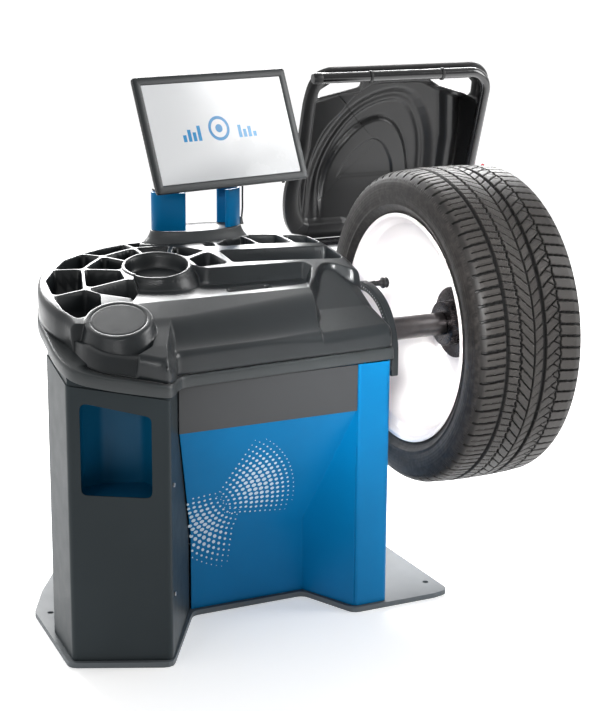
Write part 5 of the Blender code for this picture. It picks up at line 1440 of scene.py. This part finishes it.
def dot_print():
    panel = NODES["front_panel"]
    tree = BVHTree.FromPolygons([v.co for v in panel.data.vertices], [p.vertices for p in panel.data.polygons])
    discs = []
    lobes = [
        # centre (x, z), start and end angle, first radius, rows, spacing
        ((-0.425, 0.235), -6, 66, 0.070, 14, 0.0128),
        ((-0.295, 0.325), 186, 262, 0.085, 12, 0.0130),
    ]
    for (cx, cz), first, last, inner, rows, spacing in lobes:
        for row in range(rows):
            radius = inner + row * spacing
            count = max(2, int(math.radians(last - first) * radius / spacing))
            for step in range(count + 1):
                across = step / count
                angle = math.radians(first + (last - first) * across)
                x, z = cx + radius * math.cos(angle), cz + radius * math.sin(angle)
                fade = math.sin(math.pi * across) ** 0.6 * math.sin(math.pi * (row + 0.6) / (rows + 0.4)) ** 0.7
                size = 0.0054 * fade
                if size < 0.0008 or not (-0.455 < x < -0.150) or z < 0.06:
                    continue
                hit, normal, _, _ = tree.ray_cast(Vector((x, -0.5, z)), Vector((0, 1, 0)))
                if hit is None:
                    continue
                if normal.y > 0:
                    normal = -normal
                turn = normal.to_track_quat("Z", "Y").to_matrix()
                rows_here = []
                for up, grow in ((-0.0001, 1.0), (0.00022, 1.0), (0.0003, 0.9)):
                    rows_here.append([hit + turn @ Vector((size * grow * math.cos(a), size * grow * math.sin(a), up))
                                      for a in np.linspace(0, 2 * math.pi, 14, False)])
                discs.append(loft("dot", rows_here))
    piece("panel_print", joined("panel_print", *discs), "cabinet", "blue_paint", PRINT, sharp=0)


# The top of the corner pod, up to the rising skirt


def pod_upstand():
    """A thin wall above the pod's faces that closes the corner under the skirt."""
    line = [(-0.566, -0.2915), (-0.7585, -0.2065), (-0.7455, -0.0470), (-0.6000, 0.3260)]
    top = [0.592, 0.630, 0.664, 0.698]
    path = []
    for (a, b), (low, high) in zip(zip(line, line[1:]), zip(top, top[1:])):
        for step in range(12):
            t = step / 12
            path.append((a[0] + (b[0] - a[0]) * t, a[1] + (b[1] - a[1]) * t, low + (high - low) * t))
    path.append((*line[-1], top[-1]))
    rows = []
    for x, y, high in path:
        inward = (TRAY_CENTRE - np.array((x, y)))
        inward = inward / np.linalg.norm(inward) * 0.0035
        rows.append([(x, y, POD_TOP), (x, y, high), (x + inward[0], y + inward[1], high),
                     (x + inward[0], y + inward[1], POD_TOP)])
    piece("pod_upstand", loft("pod_upstand", rows), "cabinet", "pod_paint", SLATE, sharp=30)


MARK = moulded("scale_mark", (0.72, 0.73, 0.74), 0.45)
COLLAR = moulded("collar_plastic", (0.050, 0.055, 0.058), 0.42)
BEZEL = moulded("bezel_plastic", (0.022, 0.026, 0.028), 0.36, 1200)
LEAD = moulded("lead_plastic", (0.010, 0.010, 0.010), 0.40)
PRINT = powder_coat("print_ink", (0.55, 0.66, 0.74), 0.45, 0.0, 0.0)
GLASS = glass_finish()


def guard_finish():
    made = Finish("guard_finish", (0.009, 0.009, 0.0095), 0.36, specular=0.4, coat=0.12, coat_roughness=0.25)
    made.mottle(4, 0.12)
    made.rough(made.noise(12, 3), 0.32, 0.44)
    made.relief(made.noise(70, 2), 0.0006, 0.25)
    made.relief(made.noise(900, 2), 0.0001, 0.3)
    return made


GUARD = guard_finish()
TUBE = powder_coat("tube_paint", (0.008, 0.008, 0.009), 0.16, 0.0, 0.8)

monitor_cable()
gauge()
guard()
screen()
dot_print()
pod_upstand()

dress("front_panel right_side_panel rear_panel", BLUE, 0.0010)
# The pod's inside gets the darker blue, as painted shade.
dress("pod_liner", LINER_BLUE, 0.0008)
dress("pod_cover left_side_panel", SLATE, 0.0010)
dress("front_band", BAND, 0.0006)
dress("control_box", BAND, 0.0010)
dress("base_plate", PLATE, 0.0010)
dress("chassis_post drive_motor motor_pulley spindle_housing spindle_pulley guard_bracket", IRON)
dress("bearing_front bearing_rear encoder_disc force_sensor_front force_sensor_rear gauge_rod pod_screw_1 pod_screw_2",
      BRIGHT, 0.0004)
dress("motor_bracket", STEEL, 0.0008)
dress("encoder_reader gauge_guide guard_switch monitor_head power_inlet", BLACK, 0.0006)
dress("power_rocker", RED, 0.0005)
dress("drive_belt", RUBBER, 0.0004)


# Floor and light


def stage():
    floor = bpy.data.meshes.new("floor")
    floor.from_pydata([(-9, -9, 0), (9, -9, 0), (9, 9, 0), (-9, 9, 0)], [], [(0, 1, 2, 3)])
    ground = bpy.data.objects.new("floor", floor)
    bpy.context.scene.collection.objects.link(ground)
    pale = Finish("floor_finish", (0.86, 0.86, 0.86), 0.6)
    pale.mottle(1.2, 0.01)
    pale.shader.inputs["Emission Color"].default_value = (1, 1, 1, 1)
    pale.shader.inputs["Emission Strength"].default_value = 0.42
    floor.materials.append(pale.material)
    world = bpy.data.worlds.new("studio")
    world.use_nodes = True
    nodes, links = world.node_tree.nodes, world.node_tree.links
    # A white studio: bright behind the machine, dimmer in front of it
    heading = nodes.new("ShaderNodeTexCoord")
    split = nodes.new("ShaderNodeSeparateXYZ")
    links.new(heading.outputs["Generated"], split.inputs[0])
    level = nodes.new("ShaderNodeMapRange")
    level.interpolation_type = "SMOOTHSTEP"
    for socket, value in (("From Min", -0.5), ("From Max", 0.6), ("To Min", 0.33), ("To Max", 1.06)):
        level.inputs[socket].default_value = value
    links.new(split.outputs["Y"], level.inputs["Value"])
    links.new(level.outputs[0], nodes["Background"].inputs["Strength"])
    nodes["Background"].inputs["Color"].default_value = (1, 1, 1, 1)
    bpy.context.scene.world = world
    bpy.context.scene.view_settings.view_transform = "Standard"
    lamps = [
        # name, place, aim, width, height, watts, spread in degrees
        ("rear_softbox", (0.7, 2.9, 2.15), (-0.3, 0.0, 0.75), 3.6, 1.3, 300, 180),
        ("key_softbox", (3.4, -1.4, 2.2), (0.0, 0.0, 0.6), 1.6, 2.4, 95, 180),
        ("left_softbox", (-3.4, -2.2, 2.2), (-0.5, 0.0, 0.6), 0.8, 2.4, 12, 180),
        ("wheel_lamp", (-1.95, -3.2, 1.9), (0.22, 0.0, 0.62), 0.5, 0.5, 3.3, 16),
    ]
    for name, place, aim, width, height, watts, spread in lamps:
        data = bpy.data.lights.new(name, "AREA")
        data.shape = "RECTANGLE"
        data.size, data.size_y = width, height
        data.energy = watts
        data.spread = math.radians(spread)
        lamp = bpy.data.objects.new(name, data)
        bpy.context.scene.collection.objects.link(lamp)
        lamp.location = place
        lamp.rotation_euler = (Vector(aim) - Vector(place)).to_track_quat("-Z", "Y").to_euler()


stage()
